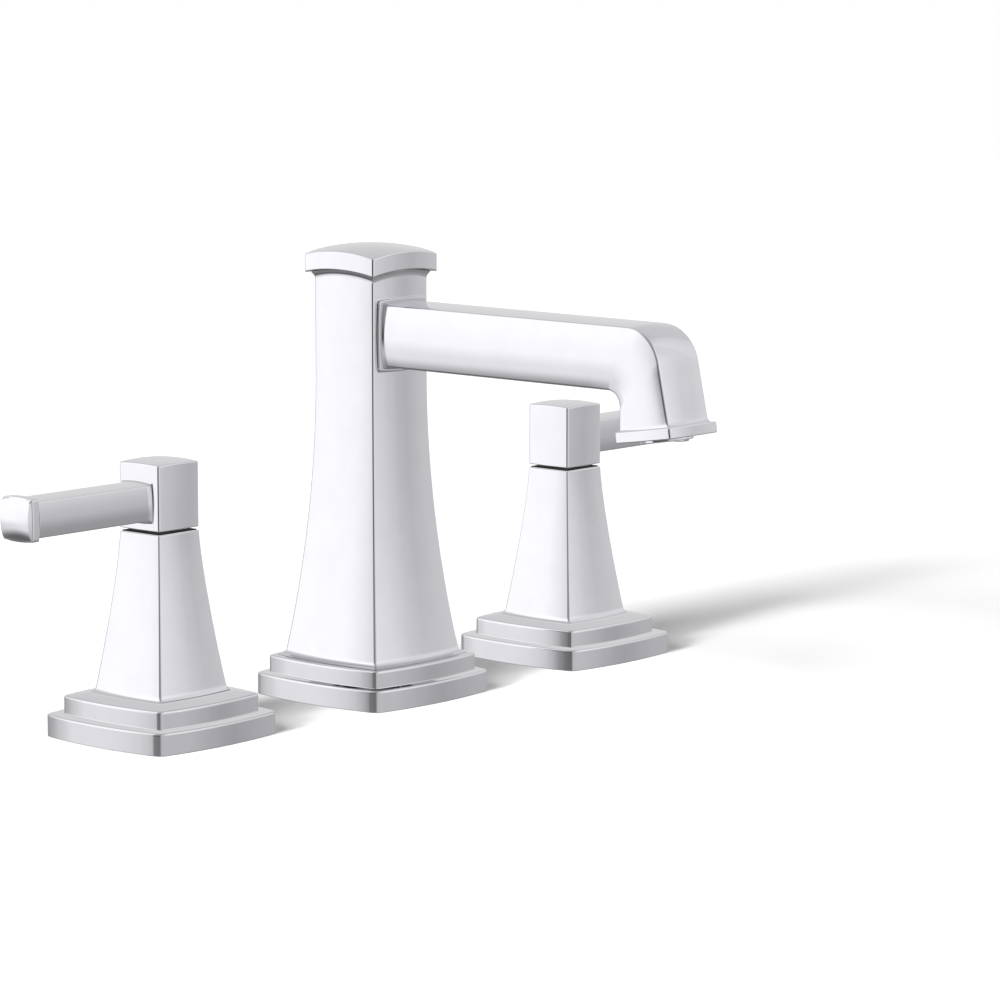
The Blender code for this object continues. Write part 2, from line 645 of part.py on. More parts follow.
# Square hub, lever bar, end cap and set screw: what the hand turns
def handle(prefix, side, axis):
    top = HUB_BOTTOM + HUB_HEIGHT
    inner = HUB_HALF - SQUARE_EDGE
    rings = [
        upright_ring(inner, HUB_BOW, HUB_BOTTOM),
        upright_ring(HUB_HALF, HUB_BOW, HUB_BOTTOM + SQUARE_EDGE),
        upright_ring(HUB_HALF, HUB_BOW, top - SQUARE_EDGE, arch=HUB_DOME / 2),
        upright_ring(inner, HUB_BOW, top, arch=HUB_DOME / 2),
        upright_ring(inner / 2, HUB_BOW, top + HUB_DOME),
    ]
    hub = add_part(prefix + "_handle_hub", loft("hub", rings), axis, CHROME)
    stem_room = HUB_BOTTOM + STEM_ENGAGEMENT + GAP
    bore(hub, "stem_bore", STEM_RADIUS + GAP, HUB_BOTTOM - OVERRUN, stem_room, axis)

    tenon_end = HUB_HALF - TENON_LENGTH
    socket = add_tool(prefix + "_lever_socket",
                      rod("socket", TENON_RADIUS + GAP, tenon_end - GAP, HUB_HALF + OVERRUN), axis)
    socket.location = (0, 0, LEVER_HEIGHT)
    socket.rotation_euler = (0, side * math.pi / 2, 0)
    combine(hub, socket, "DIFFERENCE")

    screw_hole = add_tool(prefix + "_set_screw_hole",
                          rod("screw_hole", SET_SCREW_RADIUS + GAP, 0, HUB_HALF + HUB_BOW + OVERRUN), axis)
    screw_hole.location = (0, 0, LEVER_HEIGHT)
    screw_hole.rotation_euler = (-math.pi / 2, 0, 0)
    combine(hub, screw_hole, "DIFFERENCE")

    screw_end = HUB_HALF - SET_SCREW_RECESS
    screw = add_part(prefix + "_set_screw",
                     rod("set_screw", SET_SCREW_RADIUS, STEM_RADIUS + GAP, screw_end), axis, STEEL)
    key = add_tool(prefix + "_hex_socket",
                   rod("hex", SET_SCREW_SOCKET_RADIUS, screw_end - SET_SCREW_SOCKET_DEPTH,
                       screw_end + OVERRUN, sides=6), axis)
    for item in (screw, key):
        item.location = (0, 0, LEVER_HEIGHT)
        item.rotation_euler = (-math.pi / 2, 0, 0)
    combine(screw, key, "DIFFERENCE")

    root = HUB_HALF + HUB_BOW + GAP
    wide, tall = LEVER_HALF_WIDTH, LEVER_HALF_HEIGHT
    sections = ((LEVER_ROOT_FLARE, root), (0, root + LEVER_ROOT_LENGTH), (0, LEVER_REACH))
    rings = [lever_ring(wide + grow, tall + grow, LEVER_SIDE_BOW, LEVER_TOP_BOW, reach, side)
             for grow, reach in sections]
    lever = add_part(prefix + "_lever", loft("lever", rings), axis, CHROME)
    peg_end = LEVER_REACH + TIP_PEG_LENGTH
    for name, radius, start, end in (("tenon", TENON_RADIUS, tenon_end, root + LEVER_ROOT_LENGTH),
                                     ("peg", TIP_PEG_RADIUS, LEVER_REACH - OVERRUN, peg_end)):
        tool = add_tool(prefix + "_lever_" + name, rod(name, radius, start, end), axis)
        tool.location = (0, 0, LEVER_HEIGHT)
        tool.rotation_euler = (0, side * math.pi / 2, 0)
        combine(lever, tool, "UNION")

    start = LEVER_REACH + GAP
    end = LEVER_REACH + GAP + TIP_LENGTH
    wide, tall = wide + TIP_SIDE_BORDER, tall + TIP_END_BORDER
    sections = ((0, start), (0, end - TIP_DOME), (SQUARE_EDGE, end - TIP_DOME / 2), (wide / 2, end))
    rings = [lever_ring(wide - inset, tall - inset, TIP_SIDE_BOW, LEVER_TOP_BOW, reach, side)
             for inset, reach in sections]
    tip = add_part(prefix + "_lever_tip", loft("tip", rings), axis, CHROME)
    hole = add_tool(prefix + "_tip_socket",
                    rod("tip_socket", TIP_PEG_RADIUS + GAP, start - OVERRUN, peg_end + GAP), axis)
    hole.location = (0, 0, LEVER_HEIGHT)
    hole.rotation_euler = (0, side * math.pi / 2, 0)
    combine(tip, hole, "DIFFERENCE")


# Column with the pad that the arm comes out of
def column(axis):
    rings = flare(COLUMN_FOOT, COLUMN_NECK, COLUMN_BOW_SHARE, COLUMN_FLARE_SHARES, SEAT, COLUMN_HEIGHT)
    bow = COLUMN_NECK * COLUMN_BOW_SHARE
    rings[-1] = upright_ring(COLUMN_NECK, bow, COLUMN_TOP, arch=COLUMN_ARCH)
    rings.append(upright_ring(POCKET_HALF - OVERRUN, 0, COLUMN_TOP, arch=COLUMN_ARCH))
    piece = add_part("spout_column", loft("column", rings), axis, CHROME)

    face = -(COLUMN_NECK + bow)
    low, high = ARM_AXIS_HEIGHT - BEZEL_HALF_HEIGHT, ARM_AXIS_HEIGHT + BEZEL_HALF_HEIGHT
    pad = add_tool("arm_bezel", box("bezel", (-BEZEL_HALF_WIDTH, face - BEZEL_PROUD, low),
                                    (BEZEL_HALF_WIDTH, -POCKET_HALF - GAP, high)), axis)
    soften = pad.modifiers.new("edges", "BEVEL")
    soften.width = BEZEL_EDGE
    soften.segments = 2
    combine(piece, pad, "UNION")

    shank_room = SHANK_TOP + GAP
    bore(piece, "foot_bore", SPOUT_SHANK_RADIUS + GAP, SEAT - OVERRUN, shank_room, axis)
    floor = ARM_AXIS_HEIGHT - POCKET_BELOW_ARM
    bore(piece, "riser_bore", COLUMN_BORE, shank_room - OVERRUN, floor + OVERRUN, axis)
    pocket = add_tool("arm_pocket", box("pocket", (-POCKET_HALF, -POCKET_HALF, floor),
                                        (POCKET_HALF, POCKET_HALF, COLUMN_TOP + COLUMN_ARCH + OVERRUN)),
                      axis)
    combine(piece, pocket, "DIFFERENCE")
    hole = add_tool("arm_hole", rod("arm_hole", ARM_TENON_RADIUS + GAP, POCKET_HALF - OVERRUN,
                                    -face + BEZEL_PROUD + OVERRUN), axis)
    hole.location = (0, 0, ARM_AXIS_HEIGHT)
    hole.rotation_euler = (math.pi / 2, 0, 0)
    combine(piece, hole, "DIFFERENCE")


# Domed cap that plugs the top of the column
def cap(axis):
    neck = COLUMN_NECK - CAP_NECK_INSET
    bow = COLUMN_NECK * COLUMN_BOW_SHARE
    base = CAP_BASE + CAP_NECK_HEIGHT
    edge = base + CAP_BAND
    plug = POCKET_HALF - GAP
    rings = [
        upright_ring(plug - OVERRUN, 0, CAP_BASE, arch=COLUMN_ARCH),
        upright_ring(neck, bow, CAP_BASE, arch=COLUMN_ARCH),
        upright_ring(neck, bow, base, arch=CAP_ARCH),
        upright_ring(CAP_HALF, CAP_BOW, base, arch=CAP_ARCH),
        upright_ring(CAP_HALF, CAP_BOW, edge - SQUARE_EDGE, arch=CAP_ARCH),
    ]
    for width_share, rise_share in CAP_DOME_SHARES:
        rise = CAP_DOME * rise_share + CAP_ARCH * rise_share
        rings.append(upright_ring(CAP_HALF * width_share, CAP_BOW * width_share, edge + rise,
                                  arch=CAP_ARCH * (1 - rise_share)))
    piece = add_part("spout_cap", loft("cap", rings), axis, CHROME)
    stub = add_tool("cap_plug", box("plug", (-plug, -plug, CAP_BASE - CAP_PLUG_LENGTH), (plug, plug, base)),
                    axis)
    combine(piece, stub, "UNION")


def outlet_point(across, forward, up):
    """A place set out from the middle of the outlet flange's underside."""
    cosine, sine = math.cos(OUTLET_TILT), math.sin(OUTLET_TILT)
    middle = NOSE_BACK + FLANGE_HALF_LENGTH * cosine
    y = -middle - forward * cosine + up * sine
    z = OUTLET_HEIGHT + forward * sine + up * cosine
    return Vector((across, y, z))


def arm_ring(outer, inner):
    """A section of the arm between its outer and inner edge, given as (y, z) places."""
    outer, inner = Vector(outer), Vector(inner)
    middle = (outer + inner) / 2
    half = (outer - inner).length / 2
    direction = (outer - inner).normalized()
    outline = bowed_outline((ARM_HALF_WIDTH, half), (ARM_SIDE_BOW, ARM_TOP_BOW), ARM_EDGE)
    return [Vector((x, middle.x + v * direction.x, middle.y + v * direction.y)) for x, v, rise in outline]


# Level arm that bends down into a nose with the outlet flange
def arm(axis):
    bow = COLUMN_NECK * COLUMN_BOW_SHARE
    root = COLUMN_NECK + bow + BEZEL_PROUD + GAP
    top = ARM_AXIS_HEIGHT + ARM_HALF_HEIGHT
    bottom = ARM_AXIS_HEIGHT - ARM_HALF_HEIGHT
    rings = [arm_ring((-root, top), (-root, bottom))]
    inner_start = NOSE_BACK - INNER_BEND_RADIUS
    for step in range(BEND_STEPS + 1):
        share = step / BEND_STEPS
        turned = share * (math.pi / 2 - NOSE_LEAN)
        inside = share * math.pi / 2
        outer = (-BEND_START - BEND_RADIUS * math.sin(turned), top - BEND_RADIUS * (1 - math.cos(turned)))
        inner = (-inner_start - INNER_BEND_RADIUS * math.sin(inside),
                 bottom - INNER_BEND_RADIUS * (1 - math.cos(inside)))
        rings.append(arm_ring(outer, inner))
    for up in (FLANGE_THICKNESS, FLANGE_THICKNESS / 2):
        front = outlet_point(0, FLANGE_HALF_LENGTH - FLANGE_LIP, up)
        back = outlet_point(0, SQUARE_EDGE - FLANGE_HALF_LENGTH, up)
        rings.append(arm_ring((front.y, front.z), (back.y, back.z)))
    piece = add_part("spout_arm", loft("arm", rings), axis, CHROME)

    halves = (FLANGE_HALF_WIDTH, FLANGE_HALF_LENGTH)
    outline = bowed_outline(halves, (FLANGE_END_BOW, FLANGE_SIDE_BOW), ARM_EDGE)
    rings = [[outlet_point(x, forward, up) for x, forward, rise in outline] for up in (0, FLANGE_THICKNESS)]
    flange = add_tool("outlet_flange", loft("flange", rings), axis)
    combine(piece, flange, "UNION")

    inside = POCKET_HALF
    tenon_end = inside - ARM_TENON_INSIDE
    clip_floor = ARM_TENON_RADIUS - CLIP_GROOVE_DEPTH
    clip_low, clip_high = inside - 2 * GAP - CLIP_THICKNESS, inside
    ring_floor = ARM_TENON_RADIUS - RING_GROOVE_DEPTH
    ring_low = (inside + root) / 2
    ring_high = ring_low + RING_WIDTH + 2 * GAP
    outline = (
        (0, root + OVERRUN),
        (ARM_TENON_RADIUS, root + OVERRUN),
        (ARM_TENON_RADIUS, ring_high),
        (ring_floor, ring_high),
        (ring_floor, ring_low),
        (ARM_TENON_RADIUS, ring_low),
        (ARM_TENON_RADIUS, clip_high),
        (clip_floor, clip_high),
        (clip_floor, clip_low),
        (ARM_TENON_RADIUS, clip_low),
        (ARM_TENON_RADIUS, tenon_end),
        (0, tenon_end),
    )
    tenon = turned_tool("arm_tenon", outline, axis)
    seal = turned_part("arm_seal_ring", ring_section(ARM_TENON_RADIUS, ring_floor + GAP, ring_low + GAP,
                                                     ring_high - GAP), axis, RUBBER)
    for item in (tenon, seal):
        item.location = (0, 0, ARM_AXIS_HEIGHT)
        item.rotation_euler = (math.pi / 2, 0, 0)
    combine(piece, tenon, "UNION")

    # Waterway from the tenon down to the aerator
    radius = TUBE_RADIUS + GAP
    drop = outlet_point(0, 0, AERATOR_DEPTH + AERATOR_GASKET_THICKNESS + GAP)
    turn_start = -drop.y - TUBE_BEND_RADIUS
    path = [(0, -tenon_end + OVERRUN, ARM_AXIS_HEIGHT)]
    for step in range(BEND_STEPS + 1):
        turned = step / BEND_STEPS * math.pi / 2
        path.append((0, -turn_start - TUBE_BEND_RADIUS * math.sin(turned),
                     ARM_AXIS_HEIGHT - TUBE_BEND_RADIUS * (1 - math.cos(turned))))
    path.append((0, drop.y, drop.z))
    combine(piece, add_tool("arm_waterway", tube("waterway", path, radius), axis), "DIFFERENCE")

    pocket_depth = AERATOR_DEPTH + AERATOR_GASKET_THICKNESS + 2 * GAP
    hollow = rod("aerator_pocket", AERATOR_RADIUS + GAP, -OVERRUN, pocket_depth)
    pocket = add_tool("aerator_pocket", hollow, axis)
    pocket.location = outlet_point(0, 0, 0)
    pocket.rotation_euler = (-OUTLET_TILT, 0, 0)
    combine(piece, pocket, "DIFFERENCE")

    # Clip that drops over the tenon's groove inside the pocket
    reach = clip_floor + GAP
    clip = add_part("arm_clip", box("clip", (-CLIP_HALF, -clip_high + GAP, ARM_AXIS_HEIGHT - CLIP_HALF),
                                    (CLIP_HALF, -clip_low - GAP, ARM_AXIS_HEIGHT + CLIP_HALF)), axis, STEEL)
    eye = add_tool("clip_eye", rod("eye", reach, clip_low - OVERRUN, clip_high + OVERRUN), axis)
    eye.location = (0, 0, ARM_AXIS_HEIGHT)
    eye.rotation_euler = (math.pi / 2, 0, 0)
    mouth = add_tool("clip_mouth", box("mouth", (-reach, -clip_high - OVERRUN,
                                                 ARM_AXIS_HEIGHT - CLIP_HALF - OVERRUN),
                                       (reach, -clip_low + OVERRUN, ARM_AXIS_HEIGHT)), axis)
    combine(clip, eye, "DIFFERENCE")
    combine(clip, mouth, "DIFFERENCE")
    return root


# Riser tube inside the column, from the shank to the arm
def riser(axis):
    low = SHANK_TOP - TUBE_ENGAGEMENT
    bend = POCKET_HALF - ARM_TENON_INSIDE - GAP
    start = ARM_AXIS_HEIGHT - bend
    path = [(0, 0, low)]
    for step in range(BEND_STEPS + 1):
        turned = step / BEND_STEPS * math.pi / 2
        path.append((0, -bend * (1 - math.cos(turned)), start + bend * math.sin(turned)))
    path.append((0, -POCKET_HALF - TUBE_ENGAGEMENT / 2, ARM_AXIS_HEIGHT))
    pipe = add_part("riser_tube", tube("riser", path, TUBE_RADIUS), axis, PLASTIC)
    path[0] = (0, 0, low - OVERRUN)
    path[-1] = (0, -POCKET_HALF - TUBE_ENGAGEMENT / 2 - OVERRUN, ARM_AXIS_HEIGHT)
    combine(pipe, add_tool("riser_bore", tube("riser_bore", path, TUBE_BORE), axis), "DIFFERENCE")


# Aerator: threaded housing, insert with its screen, and gasket
def aerator(axis):
    inside = AERATOR_RADIUS - AERATOR_WALL
    screen = inside - GAP
    top = AERATOR_DEPTH
    housing = turned_part("aerator_housing", ring_section(AERATOR_RADIUS, inside, -AERATOR_SHOW, top),
                          axis, CHROME)
    insert = turned_part("aerator_insert", ((0, top), (screen, top), (screen, -AERATOR_SHOW + GAP),
                                            (screen - AERATOR_WALL, -AERATOR_SHOW + GAP),
                                            (screen - AERATOR_WALL, AERATOR_SCREEN_DEPTH),
                                            (0, AERATOR_SCREEN_DEPTH)), axis, PLASTIC)
    gasket = turned_part("aerator_gasket",
                         ring_section(AERATOR_RADIUS, AERATOR_RADIUS - AERATOR_GASKET_WIDTH, top + GAP,
                                      top + GAP + AERATOR_GASKET_THICKNESS), axis, RUBBER)
    for item in (housing, insert, gasket):
        item.location = outlet_point(0, 0, 0)
        item.rotation_euler = (-OUTLET_TILT, 0, 0)


# Threaded spout shank and the tee that the two valves feed
def shank_and_tee(axis):
    socket = TUBE_RADIUS + GAP
    socket_floor = SHANK_TOP - TUBE_ENGAGEMENT - GAP
    thread_bottom = NUT_BOTTOM - THREAD_BELOW_NUT
    tail_bottom = thread_bottom - SHANK_TAIL_LENGTH
    outline = (
        (SPOUT_SHANK_RADIUS, SHANK_TOP),
        (SPOUT_SHANK_RADIUS, thread_bottom),
        (SHANK_TAIL_RADIUS, thread_bottom),
        (SHANK_TAIL_RADIUS, tail_bottom),
        (TUBE_BORE, tail_bottom),
        (TUBE_BORE, socket_floor),
        (socket, socket_floor),
        (socket, SHANK_TOP),
    )
    turned_part("spout_shank", outline, axis, BRASS)

    cup = SHANK_TAIL_RADIUS + GAP
    seal_top = tail_bottom - GAP
    seal_bottom = seal_top - TEE_SEAL_THICKNESS
    turned_part("tee_seal", ring_section(SHANK_TAIL_RADIUS, SHANK_TAIL_RADIUS - TEE_SEAL_WIDTH,
                                         seal_bottom, seal_top), axis, RUBBER)
    cup_floor = seal_bottom - GAP
    rim = tail_bottom + TEE_CUP_DEPTH
    passage = SHANK_TAIL_RADIUS - TEE_SEAL_WIDTH
    arm_height = cup_floor - TEE_FLOOR - TEE_ARM_RADIUS
    bottom = arm_height - TEE_ARM_RADIUS - TEE_FLOOR
    outline = (
        (TEE_RADIUS, rim),
        (TEE_RADIUS, bottom),
        (0, bottom),
        (0, bottom + TEE_FLOOR),
        (passage, bottom + TEE_FLOOR),
        (passage, cup_floor),
        (cup, cup_floor),
        (cup, rim),
    )
    mesh = profile_mesh("tee", outline[3:] + outline[:3])
    tee = add_part("inlet_tee", mesh, axis, BRASS)
    turn(tee)
    for side in (-1, 1):
        for name, radius, start, end, operation in (
                ("arm", TEE_ARM_RADIUS, (passage + TEE_RADIUS) / 2, TEE_ARM_REACH, "UNION"),
                ("arm_bore", TEE_ARM_BORE, 0, TEE_ARM_REACH + OVERRUN, "DIFFERENCE")):
            tool = add_tool("tee_" + name + "_" + str(side + 1), rod(name, radius, start, end), axis)
            tool.location = (0, 0, arm_height)
            tool.rotation_euler = (0, side * math.pi / 2, 0)
            combine(tee, tool, operation)


# The two valves
for prefix, side in (("left", -1), ("right", 1)):
    valve_axis = add_axis(prefix + "_valve_axis", side * VALVE_CENTRES / 2)
    base_plate(prefix, VALVE_PLATE, VALVE_SHANK_RADIUS, valve_axis)
    deck_fixings(prefix, VALVE_SHANK_RADIUS, valve_axis)
    valve_body(prefix, side, valve_axis)
    inlet_tail(prefix, valve_axis)
    outlet_nipple(prefix, side, valve_axis)
    cartridge(prefix, valve_axis)
    handle_base(prefix, valve_axis)
    handle(prefix, side, valve_axis)

# The spout
spout_axis = add_axis("spout_axis", 0)
base_plate("spout", SPOUT_PLATE, SPOUT_SHANK_RADIUS, spout_axis)
deck_fixings("spout", SPOUT_SHANK_RADIUS, spout_axis)
column(spout_axis)
cap(spout_axis)
arm(spout_axis)
riser(spout_axis)
aerator(spout_axis)
shank_and_tee(spout_axis)
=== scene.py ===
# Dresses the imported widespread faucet: smooth chrome over the faceted solids, threaded brass under
# the deck, a pale floor, soft studio light and the photograph's camera. Sizes are in millimetres.

import json
import math

import bmesh
import bpy
import numpy as np
from mathutils import Matrix, Vector

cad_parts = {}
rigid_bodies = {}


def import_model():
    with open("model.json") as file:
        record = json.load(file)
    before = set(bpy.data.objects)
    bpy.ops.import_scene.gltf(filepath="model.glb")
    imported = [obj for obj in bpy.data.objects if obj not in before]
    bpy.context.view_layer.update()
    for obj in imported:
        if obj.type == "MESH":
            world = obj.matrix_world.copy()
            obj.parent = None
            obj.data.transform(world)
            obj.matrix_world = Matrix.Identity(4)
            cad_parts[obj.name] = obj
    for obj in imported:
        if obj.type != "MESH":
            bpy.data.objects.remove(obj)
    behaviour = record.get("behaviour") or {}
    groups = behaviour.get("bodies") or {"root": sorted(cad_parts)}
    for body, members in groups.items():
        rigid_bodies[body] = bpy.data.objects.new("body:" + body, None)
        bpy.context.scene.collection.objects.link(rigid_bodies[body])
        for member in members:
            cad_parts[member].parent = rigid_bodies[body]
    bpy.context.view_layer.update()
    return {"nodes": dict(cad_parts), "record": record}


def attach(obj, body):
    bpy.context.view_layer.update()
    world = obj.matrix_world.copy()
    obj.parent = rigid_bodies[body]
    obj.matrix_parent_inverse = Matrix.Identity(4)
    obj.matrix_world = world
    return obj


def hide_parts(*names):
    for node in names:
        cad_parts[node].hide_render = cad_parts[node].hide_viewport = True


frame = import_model()
nodes = frame["nodes"]
mm = 0.001
whole = 2 * math.pi
quarterTurn = math.pi / 2

# Camera first: the photograph's own angle, worked out from the spacing of the two handles
camera = {"turn": 41.394, "tilt": 8.236, "target": (66.47, 0.0, 59.58), "distance": 1637.76, "lens": 166.74}


# A level bearing from +X and a rise above it, in degrees, as a direction
def bearingWay(bearing, rise):
    across, up = math.radians(bearing), math.radians(rise)
    return Vector((math.cos(across) * math.cos(up), math.sin(across) * math.cos(up), math.sin(up)))


sight = bearingWay(camera["turn"], -camera["tilt"])
lens = bpy.data.cameras.new("photoCamera")
lens.lens = camera["lens"]
lens.sensor_width = 36
lens.clip_end = 20
eye = bpy.data.objects.new("photoCamera", lens)
eye.location = (Vector(camera["target"]) - sight * camera["distance"]) * mm
eye.rotation_euler = sight.to_track_quat("-Z", "Y").to_euler()
bpy.context.scene.collection.objects.link(eye)
bpy.context.scene.camera = eye
bpy.context.scene.view_settings.view_transform = "Standard"
print("camera set")


# Colours are sRGB hex values, turned to linear here
def hexColour(text):
    channels = [int(text[i:i + 2], 16) / 255 for i in (0, 2, 4)]
    linear = [c / 12.92 if c <= 0.04045 else ((c + 0.055) / 1.055) ** 2.4 for c in channels]
    return (*linear, 1.0)


# Adds one node, sets it up and joins its inputs to values or to other nodes' outputs
def addNode(tree, kind, settings=None, inputs=None):
    node = tree.nodes.new(kind)
    for key, value in (settings or {}).items():
        setattr(node, key, value)
    for key, value in (inputs or {}).items():
        if isinstance(value, bpy.types.NodeSocket):
            tree.links.new(value, node.inputs[key])
        else:
            node.inputs[key].default_value = value
    return node


# A ramp's stops are (place, value) pairs, with grey values or hex colours
def setStops(ramp, stops):
    ramp.interpolation = "EASE"
    while len(ramp.elements) < len(stops):
        ramp.elements.new(1.0)
    for element, (place, value) in zip(ramp.elements, stops):
        element.position = place
        element.color = hexColour(value) if isinstance(value, str) else (value, value, value, 1)


# The patterns a finish is drawn with: (node, settings, output, scale that repeats once a metre)
patterns = {
    "cloudy": ("ShaderNodeTexNoise", None, "Fac", 1.0),
    "spangled": ("ShaderNodeTexVoronoi", {"feature": "SMOOTH_F1"}, "Distance", 1.0),
    "ringed": ("ShaderNodeTexWave", {"wave_type": "BANDS", "bands_direction": "Z"}, "Fac", 0.314),
}


# A finish is a pattern that tints it, and dulls it in places where it has a gloss range, over a fine
# relief. Both are (pattern, size, inputs); the relief's depth is a size too.
def makeFinish(looks):
    material = bpy.data.materials.new(looks["name"])
    material.use_nodes = True
    tree = material.node_tree
    shader = tree.nodes["Principled BSDF"]
    for socket, value in looks["shader"].items():
        shader.inputs[socket].default_value = value
    place = addNode(tree, "ShaderNodeTexCoord").outputs["Object"]
    drawn = {}
    for use in ("tint", "relief"):
        pattern, size, inputs = looks[use]
        kind, settings, output, repeat = patterns[pattern]
        node = addNode(tree, kind, settings, {"Vector": place, "Scale": repeat / (size * mm), **inputs})
        drawn[use] = node.outputs[output]
    tone = addNode(tree, "ShaderNodeValToRGB", None, {"Fac": drawn["tint"]})
    setStops(tone.color_ramp, looks["colours"])
    tree.links.new(tone.outputs["Color"], shader.inputs["Base Color"])
    if "gloss" in looks:
        gloss = addNode(tree, "ShaderNodeMapRange", None, {"Value": drawn["tint"], **looks["gloss"]})
        tree.links.new(gloss.outputs["Result"], shader.inputs["Roughness"])
    bump = addNode(tree, "ShaderNodeBump", None, {
        "Strength": looks["strength"], "Distance": looks["depth"] * mm, "Height": drawn["relief"]})
    tree.links.new(bump.outputs["Normal"], shader.inputs["Normal"])
    return material


# Decorative chrome on brass: bright nickel, buffed, under a thin plated skin. Mirror-like and a touch
# cool, with the faint haze of the buffing wheel and a skin that isn't perfectly flat.
polishedChrome = {
    "name": "polished chrome plate on brass", "shader": {"Metallic": 1.0, "Roughness": 0.03},
    "tint": ("cloudy", 9.0, {"Detail": 3.0, "Roughness": 0.55}),
    "colours": ((0.3, "C6C5CA"), (0.7, "C8C7CC")),
    "gloss": {"From Min": 0.3, "From Max": 0.75, "To Min": 0.04, "To Max": 0.07},
    "relief": ("cloudy", 14.0, {"Detail": 1.0}), "strength": 0.35, "depth": 0.0008,
}

# Free-cutting brass, turned and left unplated: warm yellow, tool rings 0.5 mm apart, drawn coarser
# than the real feed so that they show, and a little tarnish in patches.
turnedBrass = {
    "name": "turned brass", "shader": {"Metallic": 1.0, "Roughness": 0.28},
    "tint": ("cloudy", 11.0, {"Detail": 5.0, "Roughness": 0.6}),
    "colours": ((0.38, "A9823F"), (0.58, "DDBE7C")),
    "gloss": {"From Min": 0.35, "From Max": 0.65, "To Min": 0.42, "To Max": 0.2},
    "relief": ("ringed", 0.5, {"Distortion": 0.3, "Detail": 1.0}), "strength": 0.25, "depth": 0.05,
}

# Zinc-plated pressed steel: blue-white passivated, satin, with a cloudy spangle.
zincSteel = {
    "name": "zinc plated steel", "shader": {"Metallic": 1.0, "Roughness": 0.38},
    "tint": ("spangled", 4.0, {}), "colours": ((0.1, "BFC4CC"), (0.8, "8F969F")),
    "relief": ("cloudy", 0.5, {"Detail": 2.0}), "strength": 0.3, "depth": 0.03,
}


# Moulded parts share one build: a base tone that drifts slightly, and the mould's fine texture
def moulded(name, light, dark, roughness, grain, depth, shine=0.5):
    return {"name": name, "shader": {"Roughness": roughness, "IOR": 1.5, "Specular IOR Level": shine},
            "tint": ("cloudy", 6.0, {"Detail": 4.0, "Roughness": 0.6}),
            "colours": ((0.3, dark), (0.7, light)),
            "relief": ("cloudy", grain, {"Detail": 2.0}), "strength": 0.4, "depth": depth}


finishLooks = {
    "polished_chrome": polishedChrome,
    "turned_brass": turnedBrass,
    "zinc_plated_steel": zincSteel,
    "black_rubber": moulded("moulded nitrile rubber", "2E2E30", "1F1F21", 0.72, 0.4, 0.05),  # matt, bloomed
    "black_nylon": moulded("injection moulded nylon", "141416", "0C0C0E", 0.75, 0.7, 0.02, 0.08),  # dusty
    "alumina_ceramic": moulded("lapped alumina ceramic", "F2F0E8", "E9E6DB", 0.16, 0.2, 0.004),  # glassy lap
    "white_acetal": moulded("moulded white acetal", "F0F0EC", "E3E3DD", 0.36, 0.8, 0.02),  # waxy, half gloss
}
finishes = {slot: makeFinish(looks) for slot, looks in finishLooks.items()}
chrome, brass, zinc = "polished_chrome", "turned_brass", "zinc_plated_steel"
slotOf = {part["node"]: part["material_slot"] for part in frame["record"]["subparts"]}
for name, node in nodes.items():
    node.data.materials.clear()
    node.data.materials.append(finishes[slotOf[name]])
print("finishes made:", len(finishes))

# Studio. What the chrome mirrors is the world, drawn by compass bearing: a bright screen to the
# object's left, a soft grey one in front of it, and dark room where the camera stands.
# Each row is (bearing in degrees from +X, brightness); bearings rise anticlockwise seen from above.
# Each edge is the pair of elevations over which one band gives way to the next.
studio = {
    "full": 2.0,
    "zenith": ((0, 0.74), (138, 0.80), (221, 0.60), (318, 0.72), (360, 0.74)),
    "high": ((0, 0.94), (41, 0.90), (95, 0.90), (112, 1.20), (121, 1.74), (143, 1.74), (148, 1.50),
             (152, 1.25), (158, 0.75), (168, 0.50), (180, 0.42), (221, 0.36), (240, 0.80), (287, 1.14),
             (300, 1.45), (308, 1.38), (314, 1.23), (320, 1.13), (326, 1.11), (332, 1.18), (345, 1.10),
             (360, 0.94)),
    "level": ((0, 0.78), (41, 0.75), (75, 0.62), (100, 0.60), (112, 0.72), (118, 1.36), (123, 1.69),
              (132, 1.68), (138, 1.65), (145, 1.60), (150, 1.48), (153, 1.27), (155.5, 0.95), (157.5, 0.48),
              (160, 0.10), (221, 0.05), (226, 0.45), (232, 0.86), (250, 1.04), (285, 1.14), (300, 1.15),
              (305, 1.04), (310, 0.92), (315, 0.80), (319, 0.75), (323, 0.80), (328, 0.88), (336, 0.95),
              (346, 0.95), (360, 0.78)),
    "low": ((0, 0.50), (60, 0.50), (110, 0.66), (124, 1.20), (138, 1.33), (152, 1.06), (165, 0.80),
            (190, 0.70), (230, 0.80), (280, 0.72), (300, 0.58), (318, 0.52), (340, 0.55), (360, 0.50)),
    "pit": ((0, 0.35), (105, 0.30), (122, 0.20), (150, 0.20), (165, 0.36), (221, 0.48), (318, 0.46),
            (360, 0.35)),
    "pitEdge": (-33, -20), "lowEdge": (-19, -6), "highEdge": (-8, 16), "zenithEdge": (42, 66),
    "fill": 0.25, "backdrop": 1.0,
}

